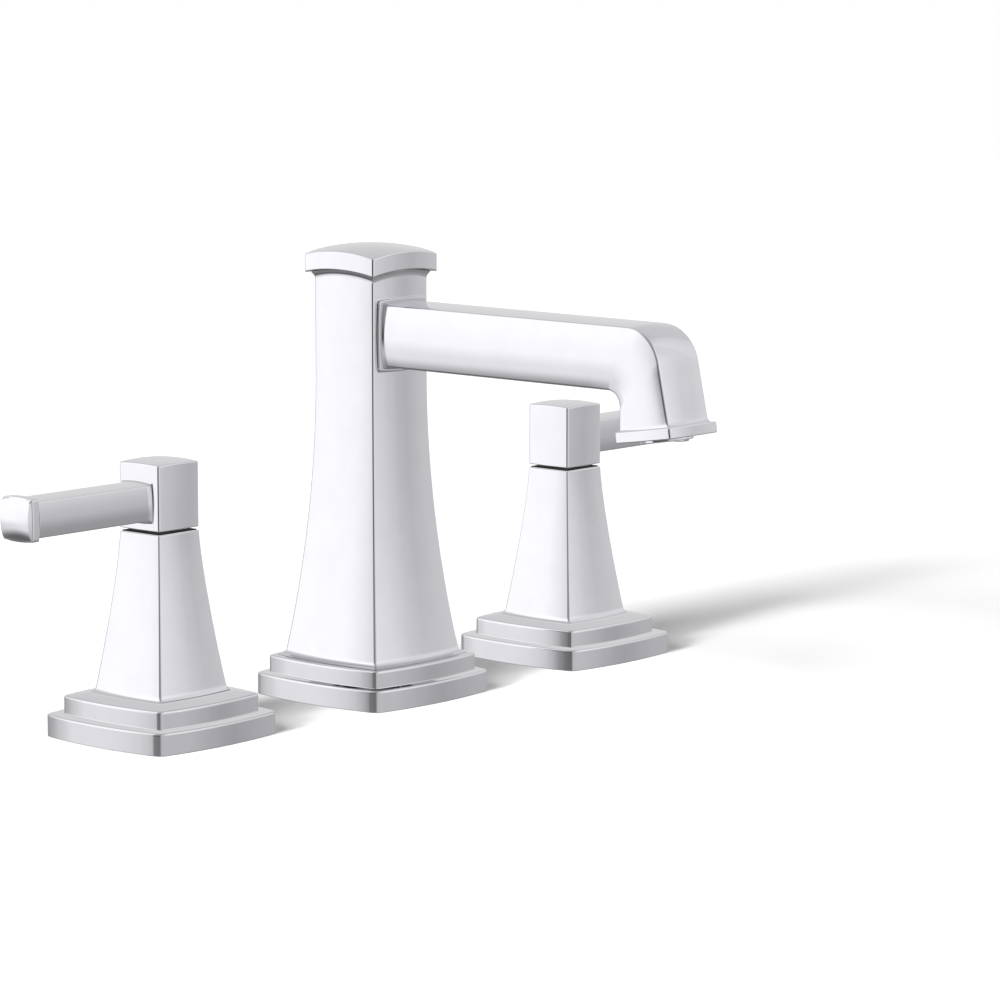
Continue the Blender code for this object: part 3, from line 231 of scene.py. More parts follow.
world = bpy.data.worlds.new("softStudio")
bpy.context.scene.world = world
world.use_nodes = True
sky = world.node_tree
sky.nodes.clear()
direction = addNode(sky, "ShaderNodeTexCoord").outputs["Generated"]
axes = addNode(sky, "ShaderNodeSeparateXYZ", None, {"Vector": direction}).outputs
bearing = addNode(sky, "ShaderNodeMath", {"operation": "ARCTAN2"}, {0: axes["Y"], 1: axes["X"]})
turnShare = addNode(sky, "ShaderNodeMath", {"operation": "DIVIDE"}, {0: bearing.outputs[0], 1: whole})
wrapped = addNode(sky, "ShaderNodeMath", {"operation": "WRAP"}, {0: turnShare.outputs[0], 1: 1.0, 2: 0.0})
bands = []
for name in ("pit", "low", "level", "high", "zenith"):
    band = addNode(sky, "ShaderNodeValToRGB", None, {"Fac": wrapped.outputs[0]})
    setStops(band.color_ramp, [(angle / 360, value / studio["full"]) for angle, value in studio[name]])
    bands.append(band.outputs["Color"])
room = bands[0]
for band, edge in zip(bands[1:], ("pitEdge", "lowEdge", "highEdge", "zenithEdge")):
    low, high = (math.sin(math.radians(angle)) for angle in studio[edge])
    rising = addNode(sky, "ShaderNodeMapRange", {"interpolation_type": "SMOOTHSTEP"},
                     {"Value": axes["Z"], "From Min": low, "From Max": high}).outputs["Result"]
    mixed = addNode(sky, "ShaderNodeMix", {"data_type": "RGBA"}, {"Factor": rising, 6: room, 7: band})
    room = mixed.outputs[2]
white = (1, 1, 1, 1)
mirrored, plainFill, backdrop = (
    addNode(sky, "ShaderNodeBackground", None, {"Color": colour, "Strength": studio[key]})
    for colour, key in ((room, "full"), (white, "fill"), (white, "backdrop")))
rays = addNode(sky, "ShaderNodeLightPath").outputs
lit = addNode(sky, "ShaderNodeMixShader", None,
              {0: rays["Is Diffuse Ray"], 1: mirrored.outputs[0], 2: plainFill.outputs[0]})
seen = addNode(sky, "ShaderNodeMixShader", None,
               {0: rays["Is Camera Ray"], 1: lit.outputs[0], 2: backdrop.outputs[0]})
addNode(sky, "ShaderNodeOutputWorld", None, {"Surface": seen.outputs[0]})

# Two far lamps on the left throw the shadows to the right: a low one and a broader, higher one
lamps = ({"name": "lowKey", "bearing": 185.0, "rise": 20.5, "spread": 12.0, "strength": 3.6},
         {"name": "softKey", "bearing": 191.0, "rise": 34.0, "spread": 24.0, "strength": 2.6})
for lamp in lamps:
    light = bpy.data.lights.new(lamp["name"], "SUN")
    light.angle = math.radians(lamp["spread"])
    light.energy = lamp["strength"]
    key = bpy.data.objects.new(lamp["name"], light)
    toLamp = bearingWay(lamp["bearing"], lamp["rise"])
    key.location = toLamp
    key.rotation_euler = toLamp.to_track_quat("Z", "Y").to_euler()
    key.visible_glossy = False
    bpy.context.scene.collection.objects.link(key)

# Floor: the white top that the faucet stands on. It keeps the shadows. Low chrome sees it as a painted
# shade: a dim glow that stands in for the shaded floor near the faucet and fades out between the near and the
# far distance.
floorLooks = {"radius": 2600.0, "paint": "F4F4F4", "lift": 0.10, "mirroredShadeTone": 0.30, "mirroredShadeShare": 0.22,
              "near": 60.0, "far": 140.0}
ground = bmesh.new()
bmesh.ops.create_circle(ground, cap_ends=True, segments=96, radius=floorLooks["radius"] * mm)
floorMesh = bpy.data.meshes.new("whiteFloor")
ground.to_mesh(floorMesh)
ground.free()
floor = bpy.data.objects.new("whiteFloor", floorMesh)
bpy.context.scene.collection.objects.link(floor)
floorPaint = bpy.data.materials.new("matt white floor")
floorPaint.use_nodes = True
tree = floorPaint.node_tree
tree.nodes.clear()
path = addNode(tree, "ShaderNodeLightPath").outputs
matt = addNode(tree, "ShaderNodeBsdfDiffuse", None, {"Color": hexColour(floorLooks["paint"])})
# The lift glow evens the floor to white for the camera. The second glow is a painted shade: a dim fixed tone
# that low chrome mirrors.
glow, paintedShade = (addNode(tree, "ShaderNodeEmission", None, {"Color": white, "Strength": floorLooks[key]})
              for key in ("lift", "mirroredShadeTone"))
lifted = addNode(tree, "ShaderNodeAddShader", None, {0: matt.outputs[0], 1: glow.outputs[0]})
shown = addNode(tree, "ShaderNodeMixShader", None,
                {0: path["Is Camera Ray"], 1: matt.outputs[0], 2: lifted.outputs[0]})
# The painted shade is strongest for short mirrored rays and gone for long ones, where the studio shows through
fading = addNode(tree, "ShaderNodeMapRange", {"interpolation_type": "SMOOTHSTEP"},
                 {"Value": path["Ray Length"], "From Min": floorLooks["near"] * mm,
                  "From Max": floorLooks["far"] * mm, "To Min": floorLooks["mirroredShadeShare"], "To Max": 0.0})
clear = addNode(tree, "ShaderNodeBsdfTransparent")
paintedShadeInMirror = addNode(tree, "ShaderNodeMixShader", None,
                   {0: fading.outputs["Result"], 1: clear.outputs[0], 2: paintedShade.outputs[0]})
both = addNode(tree, "ShaderNodeMixShader", None,
               {0: path["Is Glossy Ray"], 1: shown.outputs[0], 2: paintedShadeInMirror.outputs[0]})
addNode(tree, "ShaderNodeOutputMaterial", None, {"Surface": both.outputs[0]})
floorMesh.materials.append(floorPaint)
print("studio set")

# Shared sizes: half the spacing of the handles, the gap between fitted pieces, and the sharpest angle
# that is still shaded smooth
row = {"half": 101.6, "gap": 0.3, "creaseAngle": 40.0}
sides = (("left", -1), ("right", 1))


# Rounds the corners of a chain of stations. A station's first two values are its place in the
# section and its last is the corner's radius; every value between is carried along smoothly. A corner
# takes up to mostShare of the edges beside it, with one more station a little way off, at lead.
def soften(stations, wrap=False, steps=5, mostShare=0.42, lead=1.18):
    rows = [np.array(station[:-1], float) for station in stations]
    smooth = []
    for i, here in enumerate(rows):
        radius = stations[i][-1]
        if radius <= 0 or (not wrap and i in (0, len(rows) - 1)):
            smooth.append(here)
            continue
        back, on = rows[i - 1] - here, rows[(i + 1) % len(rows)] - here
        backShare = min(radius / np.linalg.norm(back[:2]), mostShare)
        onShare = min(radius / np.linalg.norm(on[:2]), mostShare)
        start, end = here + back * backShare, here + on * onShare
        smooth.append(here + back * backShare * lead)
        for k in range(steps + 1):
            t = k / steps
            smooth.append((1 - t) ** 2 * start + 2 * t * (1 - t) * here + t * t * end)
        smooth.append(here + on * onShare * lead)
    return smooth


# Points once round a square with swelled sides and rounded corners. With roundness 1 it is a circle.
def squareRing(halfA, halfB, bowA, bowB, edge, roundness=0.0, sideSteps=14, cornerSteps=6):
    points = []
    for quarter in range(4):
        out, along, bow, nextBow = ((halfA, halfB, bowA, bowB), (halfB, halfA, bowB, bowA))[quarter % 2]
        reach, nextReach = along - edge, out - edge
        places = [-reach, -reach + 0.3 * edge]
        places += [reach * (2 * k / sideSteps - 1) for k in range(1, sideSteps)]
        places += [reach - 0.3 * edge, reach]
        side = [(out + bow * (1 - (p / along) ** 2), p) for p in places]
        slope, nextSlope = 2 * bow * reach / along ** 2, 2 * nextBow * nextReach / out ** 2
        startX, startY = side[-1]
        endX, endY = nextReach, along + nextBow * (1 - (nextReach / out) ** 2)
        cornerY = (endY - nextSlope * (startX + slope * startY - endX)) / (1 - slope * nextSlope)
        cornerX = startX - slope * (cornerY - startY)
        for k in range(1, cornerSteps):
            t = k / cornerSteps
            side.append(((1 - t) ** 2 * startX + 2 * t * (1 - t) * cornerX + t * t * endX,
                         (1 - t) ** 2 * startY + 2 * t * (1 - t) * cornerY + t * t * endY))
        cosine, sine = ((1, 0), (0, 1), (-1, 0), (0, -1))[quarter]
        points += [(x * cosine - y * sine, x * sine + y * cosine) for x, y in side]
    ring = np.array(points)
    if roundness:
        angles = np.arctan2(ring[:, 1], ring[:, 0])
        circle = np.column_stack((np.cos(angles) * halfA, np.sin(angles) * halfB))
        ring = ring * (1 - roundness) + circle * roundness
    return ring


def circleRing(radius, count=72):
    angles = np.arange(count) * whole / count
    return np.column_stack((np.cos(angles) * radius, np.sin(angles) * radius))


# A hexagon cut by the cone that chamfers a nut's corners; limit is the cone's radius there
def hexRing(flat, limit=math.inf, count=72):
    angles = np.arange(count) * whole / count
    wedge = (angles + math.pi / 6) % (math.pi / 3) - math.pi / 6
    radius = np.minimum(flat / np.cos(wedge), limit)
    return np.column_stack((np.cos(angles) * radius, np.sin(angles) * radius))


# A flat ring lifted to its height, about an upright axis at x
def atHeight(ring, height, x=0.0):
    return np.column_stack((ring + np.array((x, 0)), np.full(len(ring), height)))


def smoothOver(mesh, material):
    mesh.shade_smooth()
    mesh.set_sharp_from_angle(angle=math.radians(row["creaseAngle"]))
    mesh.materials.clear()
    mesh.materials.append(material)


# Skins rings of equal count, in millimetres, into a closed piece
def loft(name, rings, slot, wrap=False, shell=None):
    count = len(rings[0])
    rows = len(rings)
    faces = []
    for i in range(rows if wrap else rows - 1):
        a, b = i * count, (i + 1) % rows * count
        faces += [(a + j, a + (j + 1) % count, b + (j + 1) % count, b + j) for j in range(count)]
    if not wrap:
        faces += [tuple(reversed(range(count))), tuple(range((rows - 1) * count, rows * count))]
    mesh = bpy.data.meshes.new(name)
    mesh.from_pydata((np.vstack(rings) * mm).tolist(), [], faces)
    if shell is not None:
        mesh.attributes.new("shell", "FLOAT", "POINT").data.foreach_set("value", np.repeat(shell, count))
    shape = bmesh.new()
    shape.from_mesh(mesh)
    bmesh.ops.recalc_face_normals(shape, faces=shape.faces)
    shape.to_mesh(mesh)
    shape.free()
    piece = bpy.data.objects.new(name, mesh)
    bpy.context.scene.collection.objects.link(piece)
    smoothOver(mesh, finishes[slot])
    return piece


# A piece turned about an upright axis: stations are (radius, height, corner radius)
def turned(name, stations, slot=brass, wrap=True, x=0.0):
    centre = 0.02  # a point in the middle is drawn as a tiny ring
    rings = [atHeight(circleRing(max(radius, centre)), height, x)
             for radius, height in soften(stations, wrap)]
    return loft(name, rings, slot, wrap)


# A solid round plug, for a cut or a join; edge rounds its upper rim
def plug(name, radius, low, high, edge=0.0, slot=brass):
    return turned(name, ((0, low, 0), (radius, low, 0), (radius, high, edge), (0, high, 0)), slot, wrap=False)


# Takes the evaluated mesh of a piece, modifiers and trees included, and leaves it plain
def settle(piece):
    material = piece.data.materials[0]
    bpy.context.view_layer.update()
    plain = bpy.data.meshes.new_from_object(piece.evaluated_get(bpy.context.evaluated_depsgraph_get()))
    piece.modifiers.clear()
    piece.data = plain
    smoothOver(plain, material)


def boolean(piece, tool, operation):
    step = piece.modifiers.new(tool.name, "BOOLEAN")
    step.operation = operation
    step.solver = "EXACT"
    step.object = tool
    settle(piece)
    bpy.data.objects.remove(tool)


# A move to a place beside the spout's axis, after some quarter turns about one axis
def placing(x=0.0, z=0.0, quarters=0, axis="Y"):
    return Matrix.Translation((x * mm, 0, z * mm)) @ Matrix.Rotation(quarters * quarterTurn, 4, axis)


# A finished piece takes the place of a node: it goes on to the body, and the node is hidden
def dress(piece, node, body="faucet_body"):
    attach(piece, body)
    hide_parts(node)


# A Geometry Nodes group with a mesh going in and out and a number for each named size
def newTree(name, sizes):
    tree = bpy.data.node_groups.new(name, "GeometryNodeTree")
    tree.interface.new_socket("Mesh", in_out="INPUT", socket_type="NodeSocketGeometry")
    tree.interface.new_socket("Mesh", in_out="OUTPUT", socket_type="NodeSocketGeometry")
    for size in sizes:
        tree.interface.new_socket(size, in_out="INPUT", socket_type="NodeSocketFloat")
    return tree, addNode(tree, "NodeGroupInput").outputs


def endTree(tree, geometry, slot):
    real = addNode(tree, "GeometryNodeRealizeInstances", None, {"Geometry": geometry})
    painted = addNode(tree, "GeometryNodeSetMaterial", None,
                      {"Geometry": real.outputs[0], "Material": finishes[slot]})
    addNode(tree, "NodeGroupOutput", None, {0: painted.outputs[0]})


def runTree(piece, tree, values):
    step = piece.modifiers.new(tree.name, "NODES")
    step.node_group = tree
    for item in tree.interface.items_tree:
        if item.in_out == "INPUT" and item.name in values:
            step[item.identifier] = values[item.name]
    settle(piece)


# Flare rule, for the column and the handle bases: a straight square blank widens towards its foot as
# belly * (1 - rise / span) ** power + (1 - belly) * exp(-rise / toe). Its top edge can be arched, a
# quarter-round fillet runs the foot out on to the plate, and a cove spreads it under the cap.
flareLengths = ("base", "height", "arch", "seat", "fillet", "runOut", "neck", "top", "cove", "coveReach")
flareShares = ("belly", "span", "power", "toe", "archDepth")


def flareTree():
    tree, given = newTree("flareToFoot", (*flareLengths, *flareShares, "footRatio"))
    known = {socket.name: socket for socket in given if socket.name}
    place = addNode(tree, "GeometryNodeInputPosition").outputs[0]
    axes = addNode(tree, "ShaderNodeSeparateXYZ", None, {0: place}).outputs
    shell = addNode(tree, "GeometryNodeInputNamedAttribute", {"data_type": "FLOAT"}, {"Name": "shell"})
    known.update({"x": axes["X"], "y": axes["Y"], "z": axes["Z"], "shell": shell.outputs[0]})
    # Each step is (result, operation, sources); LINEAR and SMOOTHSTEP map a range on to another
    steps = [
        ("end", "ADD", "base", "height"),
        ("rise", "LINEAR", "z", "base", "end"),
        ("left", "LINEAR", "rise", 0.0, "span", 1.0, 0.0),
        ("swell", "POWER", "left", "power"),
        ("swell", "MULTIPLY", "swell", "belly"),
        ("fall", "DIVIDE", "rise", "toe"),
        ("fall", "MULTIPLY", "fall", -1.0),
        ("fall", "EXPONENT", "fall"),
        ("toeShare", "SUBTRACT", 1.0, "belly"),
        ("share", "MULTIPLY_ADD", "fall", "toeShare", "swell"),
        ("growth", "SUBTRACT", "footRatio", 1.0),
        ("growth", "MULTIPLY", "growth", "share"),
        ("filletTop", "ADD", "seat", "fillet"),
        ("below", "LINEAR", "z", "seat", "filletTop", 1.0, 0.0),
        ("throat", "SUBTRACT", "top", "cove"),
        ("climb", "LINEAR", "z", "throat", "top", 0.0, 1.0),
    ]
    for nearness, reach in (("below", "runOut"), ("climb", "coveReach")):
        steps += [
            ("curve", "POWER", nearness, 2.0),
            ("curve", "SUBTRACT", 1.0, "curve"),
            ("curve", "SQRT", "curve"),
            ("curve", "SUBTRACT", 1.0, "curve"),
            ("curve", "MULTIPLY", "curve", reach),
            ("curve", "DIVIDE", "curve", "neck"),
            ("growth", "ADD", "growth", "curve"),
        ]
    steps += [
        ("scale", "MULTIPLY_ADD", "growth", "shell", 1.0),
        ("across", "ABSOLUTE", "x"),
        ("deep", "ABSOLUTE", "y"),
        ("small", "MINIMUM", "across", "deep"),
        ("large", "MAXIMUM", "across", "deep"),
        ("slant", "DIVIDE", "small", "large"),
        ("slant", "POWER", "slant", 2.0),
        ("crown", "SUBTRACT", 1.0, "slant"),
        ("crown", "MULTIPLY", "crown", "arch"),
        ("start", "SUBTRACT", 1.0, "archDepth"),
        ("near", "SMOOTHSTEP", "rise", "start", 1.0),
        ("lift", "MULTIPLY", "crown", "near"),
        ("newX", "MULTIPLY", "x", "scale"),
        ("newY", "MULTIPLY", "y", "scale"),
        ("newZ", "ADD", "z", "lift"),
    ]
    rangeInputs = ("Value", "From Min", "From Max", "To Min", "To Max")
    for result, operation, *sources in steps:
        values = [known.get(source, source) for source in sources]
        if operation in ("LINEAR", "SMOOTHSTEP"):
            node = addNode(tree, "ShaderNodeMapRange", {"interpolation_type": operation},
                           dict(zip(rangeInputs, values)))
        else:
            node = addNode(tree, "ShaderNodeMath", {"operation": operation}, dict(enumerate(values)))
        known[result] = node.outputs[0]
    moved = addNode(tree, "ShaderNodeCombineXYZ", None,
                    {"X": known["newX"], "Y": known["newY"], "Z": known["newZ"]})
    shaped = addNode(tree, "GeometryNodeSetPosition", None,
                     {"Geometry": given["Mesh"], "Position": moved.outputs[0]})
    endTree(tree, shaped.outputs[0], chrome)
    return tree


# Draws a four-sided wire along a line, lifts it to its height and joins the piece's own mesh to it
def drawWire(tree, given, line, thickness, height, slot):
    section = addNode(tree, "GeometryNodeCurvePrimitiveCircle", {"mode": "RADIUS"},
                      {"Resolution": 4, "Radius": given[thickness]})
    wire = addNode(tree, "GeometryNodeCurveToMesh", None,
                   {"Curve": line.outputs[0], "Profile Curve": section.outputs[0], "Fill Caps": True})
    lift = addNode(tree, "ShaderNodeCombineXYZ", None, {"Z": given[height]})
    lifted = addNode(tree, "GeometryNodeTransform", None,
                     {"Geometry": wire.outputs[0], "Translation": lift.outputs[0]})
    joined = addNode(tree, "GeometryNodeJoinGeometry")
    tree.links.new(lifted.outputs[0], joined.inputs[0])
    tree.links.new(given["Mesh"], joined.inputs[0])
    endTree(tree, joined.outputs[0], slot)


# Screw thread rule: a sharp ridge wound up a turned core
def threadTree():
    tree, given = newTree("windThread", ("Radius", "Ridge", "Turns", "Length", "Low"))
    line = addNode(tree, "GeometryNodeCurveSpiral", None,
                   {"Resolution": threadLooks["around"], "Rotations": given["Turns"],
                    "Start Radius": given["Radius"], "End Radius": given["Radius"],
                    "Height": given["Length"]})
    drawWire(tree, given, line, "Ridge", "Low", brass)
    return tree


threadLooks = {"pitch": 1.8, "ridge": 0.95, "around": 40}
flaring = flareTree()
threading = threadTree()


# Winds a thread round an upright core between two heights, inside the crest radius
def addThread(piece, crest, low, high):
    length, ridge = high - low, threadLooks["ridge"]
    runTree(piece, threading, {"Radius": (crest - ridge) * mm, "Ridge": ridge * mm, "Low": low * mm,
                               "Turns": length / threadLooks["pitch"], "Length": length * mm})


# Stepped base plates. The edges are the corners' radii seen from above, and soft is the upper rims'.
# Below roof the bore is wider by relief, and the gasket's recess leaves a wall round itself.
plateShape = {"step": 7.5, "top": 13.5, "soft": 0.75, "lowEdge": 2.4, "highEdge": 1.2, "roof": 9.5,
              "recess": 1.2, "relief": 2.7, "wall": 2.2}
valvePlate = {"lower": 26.85, "lowerBow": 2.8, "upper": 22.7, "upperBow": 2.2, "bore": 13.0, "crown": 0.95,
              "seat": 17.2}
spoutPlate = {"lower": 28.35, "lowerBow": 3.0, "upper": 25.2, "upperBow": 2.5, "bore": 14.3, "crown": 0.05,
              "seat": 23.4}


def basePlate(name, sizes, x):
    step, top, soft = plateShape["step"], plateShape["top"], plateShape["soft"]
    lowEdge, highEdge, roof = plateShape["lowEdge"], plateShape["highEdge"], plateShape["roof"]
    lower, upper, bore = sizes["lower"], sizes["upper"], sizes["bore"]
    lowerBow, upperBow = sizes["lowerBow"], sizes["upperBow"]
    crown = top + sizes["crown"]
    relief, recess = bore + plateShape["relief"], lower - plateShape["wall"]
    recessTop = plateShape["recess"]
    # (half side, height, bow, roundness, edge, corner radius) up the outside and down the bore
    stations = (
        (lower, 0.0, lowerBow, 0, lowEdge, 0.2),
        (lower, step, lowerBow, 0, lowEdge, soft),
        (upper, step, upperBow, 0, highEdge, 0.25),
        (upper, top, upperBow, 0, highEdge, soft),
        (sizes["seat"], crown, upperBow * 0.6, 0, highEdge, 0.3),
        (bore, crown, 0, 1, highEdge, 0.3),
        (bore, roof, 0, 1, highEdge, 0.2),
        (relief, roof, 0, 1, highEdge, 0.2),
        (relief, recessTop, 0, 1, highEdge, 0.2),
        (recess, recessTop, 0, 0, lowEdge, 0.2),
        (recess, 0.0, 0, 0, lowEdge, 0.1),
    )
    rings = [atHeight(squareRing(half, half, bow, bow, edge, roundness), height, x)
             for half, height, bow, roundness, edge in soften(stations, wrap=True)]
    plate = loft(name + "Plate", rings, chrome, wrap=True)
    dress(plate, name + "_escutcheon")


for name, side in sides:
    basePlate(name, valvePlate, side * row["half"])
basePlate("spout", spoutPlate, 0.0)
print("base plates made")


# A straight square blank with its bore, which the flare rule then shapes
def flaredPost(name, size):
    neck, seat, bow = size["neck"], size["seat"], size["neck"] * size["bow"]
    height, levels = size["end"] - seat, size["levels"]
    outside = [(neck, seat, bow, 0, 1, 0.06), (neck, seat + height, bow, 0, 1, 0.35)]
    inside = [(half, level, 0, roundness, 0, 0.15) for half, level, roundness in size["bore"]]
    stations = soften(outside + inside, wrap=True)
    # Levels for the flare to bend, closer together near both ends, go in above the lower rim
    rim = [k for k, s in enumerate(stations) if s[4] > 0.99 and s[1] < seat + height / 2][-1]
    rises = seat + 0.1 + (height - 0.7) * (1 - np.cos(np.pi * np.arange(1, levels) / levels)) / 2
    stations[rim + 1:rim + 1] = [np.array((neck, rise, bow, 0, 1)) for rise in rises]
    rings = [atHeight(squareRing(half, half, swell, swell, size["edge"], roundness), level)
             for half, level, swell, roundness, shell in stations]
    post = loft(name, rings, chrome, wrap=True, shell=[s[4] for s in stations])
    values = {key: size[key] * mm for key in flareLengths}
    values.update({key: size[key] for key in flareShares})
    runTree(post, flaring, {**values, "footRatio": size["foot"] / neck})
    return post


# Handle base: hollow flared body over the valve. Its cove is set out of reach, above its end. Bores
# are (half side, height, roundness) down the inside.
handleBase = {
    "foot": 16.8, "neck": 9.15, "bow": 0.06, "base": 13.8, "height": 54.1, "edge": 0.4, "seat": 14.5,
    "end": 67.9, "fillet": 2.1, "runOut": 1.4, "arch": 0.0, "archDepth": 0.1, "top": 200.0, "cove": 10.0,
    "coveReach": 0.0, "belly": 0.84, "span": 1.0, "power": 1.3, "toe": 0.002, "levels": 110,
    "bore": ((6.9, 67.9, 1), (6.9, 22.6, 1), (11.9, 22.6, 1), (11.9, 17.3, 1), (13.0, 17.3, 1),
             (13.0, 14.5, 1)),
}
for name, side in sides:
    body = flaredPost(name + "HandleBase", handleBase)
    body.data.transform(placing(side * row["half"]))
    dress(body, name + "_handle_base")

# Spout column, and the arm that it carries
column = {
    "foot": 21.86, "neck": 13.5, "bow": 0.07, "base": 13.8, "height": 130.0, "edge": 0.45, "seat": 13.6,
    "end": 145.2, "fillet": 2.1, "runOut": 1.8, "arch": 1.7, "archDepth": 0.06, "top": 145.2, "cove": 2.3,
    "coveReach": 1.4, "belly": 0.93, "span": 0.75, "power": 2.0, "toe": 0.002, "levels": 150,
    "bore": ((10.2, 145.2, 0), (10.2, 111.1, 0), (9.5, 111.1, 1), (9.5, 17.3, 1), (14.3, 17.3, 1),
             (14.3, 13.6, 1)),
}
arm = {
    "axis": 125.1, "halfHeight": 10.5, "halfWidth": 9.6, "sideBow": 1.5, "topBow": 0.6, "edge": 0.55,
    "root": 15.0, "hole": 7.8, "holeNear": 9.2, "holeFar": 15.2, "tenon": 7.5, "tenonEnd": 6.8, "overlap": 1.0,
    # the root's rolled rim, as (growth, distance along the arm)
    "rim": ((0.1, 0), (0.58, 0.06), (0.6, 0.12), (0.42, 0.5), (0.24, 0.9), (0.1, 1.3), (0.02, 1.6), (0, 1.8)),
}


# A round tool lying along -Y on the arm's axis
def armTool(name, radius, near, far):
    tool = plug(name, radius, far, near, slot=chrome)
    tool.data.transform(placing(0.0, arm["axis"], 1, "X"))
    return tool


post = flaredPost("spoutColumn", column)
boolean(post, armTool("armDrill", arm["hole"], arm["holeNear"], arm["holeFar"]), "DIFFERENCE")
dress(post, "spout_column")

# Pad that the arm comes out of: it swells from the column's bowed face and ends in a soft edge
pad = {"halfWidth": 11.75, "halfHeight": 12.0, "front": 14.92, "corner": 1.0, "spread": 0.7, "edge": 0.3,
       "bow": 0.35, "inset": 2.0, "depth": 2.0}


def makePad():
    face, bow = column["neck"], column["neck"] * column["bow"]
    wide, tall, front, spread = pad["halfWidth"], pad["halfHeight"], pad["front"], pad["spread"]
    inHole = arm["hole"] - wide
    # (growth of the outline, depth, share of the column's curve, roundness, corner radius)
    stations = (
        (-pad["inset"], -1.2, 1, 0, 0.1),
        (spread, -0.25, 1, 0, 0.1),
        (spread, 0.01, 1, 0, 0.0),
        (0.0, 0.01, 1, 0, 0.5),
        (0.0, 0.0, 0, 0, pad["edge"]),
        (inHole, 0.0, 0, 1, 0.2),
        (inHole, -pad["depth"], 0, 1, 0.2),
    )
    rings = []
    for grow, depth, curve, roundness in soften(stations, wrap=True):
        halfTall, swell = tall + grow + (wide - tall) * roundness, pad["bow"] * (1 - roundness)
        ring = squareRing(wide + grow, halfTall, swell, swell, pad["corner"], roundness)
        wall = face + bow * (1 - (ring[:, 0] / face) ** 2)
        y = -((wall + depth) * curve + (front + depth) * (1 - curve))
        rings.append(np.column_stack((ring[:, 0], y, ring[:, 1] + arm["axis"])))
    piece = loft("armPad", rings, chrome, wrap=True)
    dress(piece, "spout_column")


makePad()
print("column and handle bases made")

# Cap: a plug in the column under a domed square lid, whose edges arch like the column's
cap = {"plug": 9.9, "plugDepth": 5.5, "half": 16.0, "bow": 0.9, "base": 145.4, "band": 6.2, "arch": 1.7,
       "dome": 1.85, "edge": 0.55, "soft": 0.45, "rim": 0.4, "domeRings": 26, "domeStart": 0.955,
       "domeEnd": 0.012}


def makeCap():
    low, high = cap["base"], cap["base"] + cap["band"]
    half, bow, arch = cap["half"], cap["bow"], cap["arch"]
    # (half side, height, bow, roundness, arch, corner radius); the last one only aims the upper edge
    stations = (
        (0.5, low - cap["plugDepth"], 0, 0, 0, 0),
        (cap["plug"], low - cap["plugDepth"], 0, 0, 0, 0.4),
        (cap["plug"], low, 0, 0, arch * 0.6, 0.1),
        (half, low, bow, 0, arch, cap["rim"]),
        (half, high, bow, 0, arch, cap["soft"]),
        (half * 0.9, high + cap["dome"] * 0.19, bow, 0, arch, 0),
    )
    rows = soften(stations)[:-1]
    for k in range(1, cap["domeRings"]):
        share = cap["domeStart"] * (1 - k / cap["domeRings"]) + cap["domeEnd"]
        rise = (cap["dome"] + arch) * (1 - share ** 2)
        rows.append(np.array((half * share, high + rise, bow * share, 0, arch * share ** 2)))
    skin = []
    for out, height, swell, roundness, lift in rows:
        ring = squareRing(out, out, swell, swell, min(cap["edge"], out * 0.3), roundness)
        reach = np.abs(ring)
        slant = reach.min(axis=1) / reach.max(axis=1)
        skin.append(np.column_stack((ring, height + lift * (1 - slant ** 2))))
    dress(loft("spoutCap", skin, chrome), "spout_cap")


makeCap()

# Arm: level bar, bend, nose and outlet flange in one skin
nose = {"bendStart": 121.5, "bend": 14.0, "innerBend": 5.5, "lean": 12.7, "back": 119.0, "flangeWidth": 12.1,
        "flangeLength": 11.6, "thick": 3.65, "lip": 1.9, "backLip": 0.5, "sideBow": 0.8, "endBow": 0.6,
        "outlet": 99.5, "tilt": 8.5, "corner": 0.6, "pocket": 9.3, "pocketDepth": 10.0, "cove": 1.1,
        "barSteps": 12, "bendSteps": 30, "noseSteps": 8}


# A place on the tilted outlet, as (across, forward, up) from the middle of its face
def outletPoint(across, forward, up):
    cosine, sine = math.cos(math.radians(nose["tilt"])), math.sin(math.radians(nose["tilt"]))
    middle = nose["back"] + nose["flangeLength"] * cosine
    return (across, -middle - forward * cosine + up * sine, nose["outlet"] + forward * sine + up * cosine)


# A section between its outer and inner edge, given as (y, z) places
def armSection(outer, inner, grow=0.0, noseShare=0.0):
    outer, inner = Vector(outer), Vector(inner)
    middle, half = (outer + inner) / 2, (outer - inner).length / 2
    way = (outer - inner).normalized()
    sideBow = arm["sideBow"] + (nose["sideBow"] - arm["sideBow"]) * noseShare - grow * 0.4
    halfWide = arm["halfWidth"] + grow + (arm["sideBow"] - nose["sideBow"]) * noseShare
    ring = squareRing(halfWide, half, sideBow, arm["topBow"], arm["edge"])
    return np.column_stack((ring[:, 0], middle.x + ring[:, 1] * way.x, middle.y + ring[:, 1] * way.y))


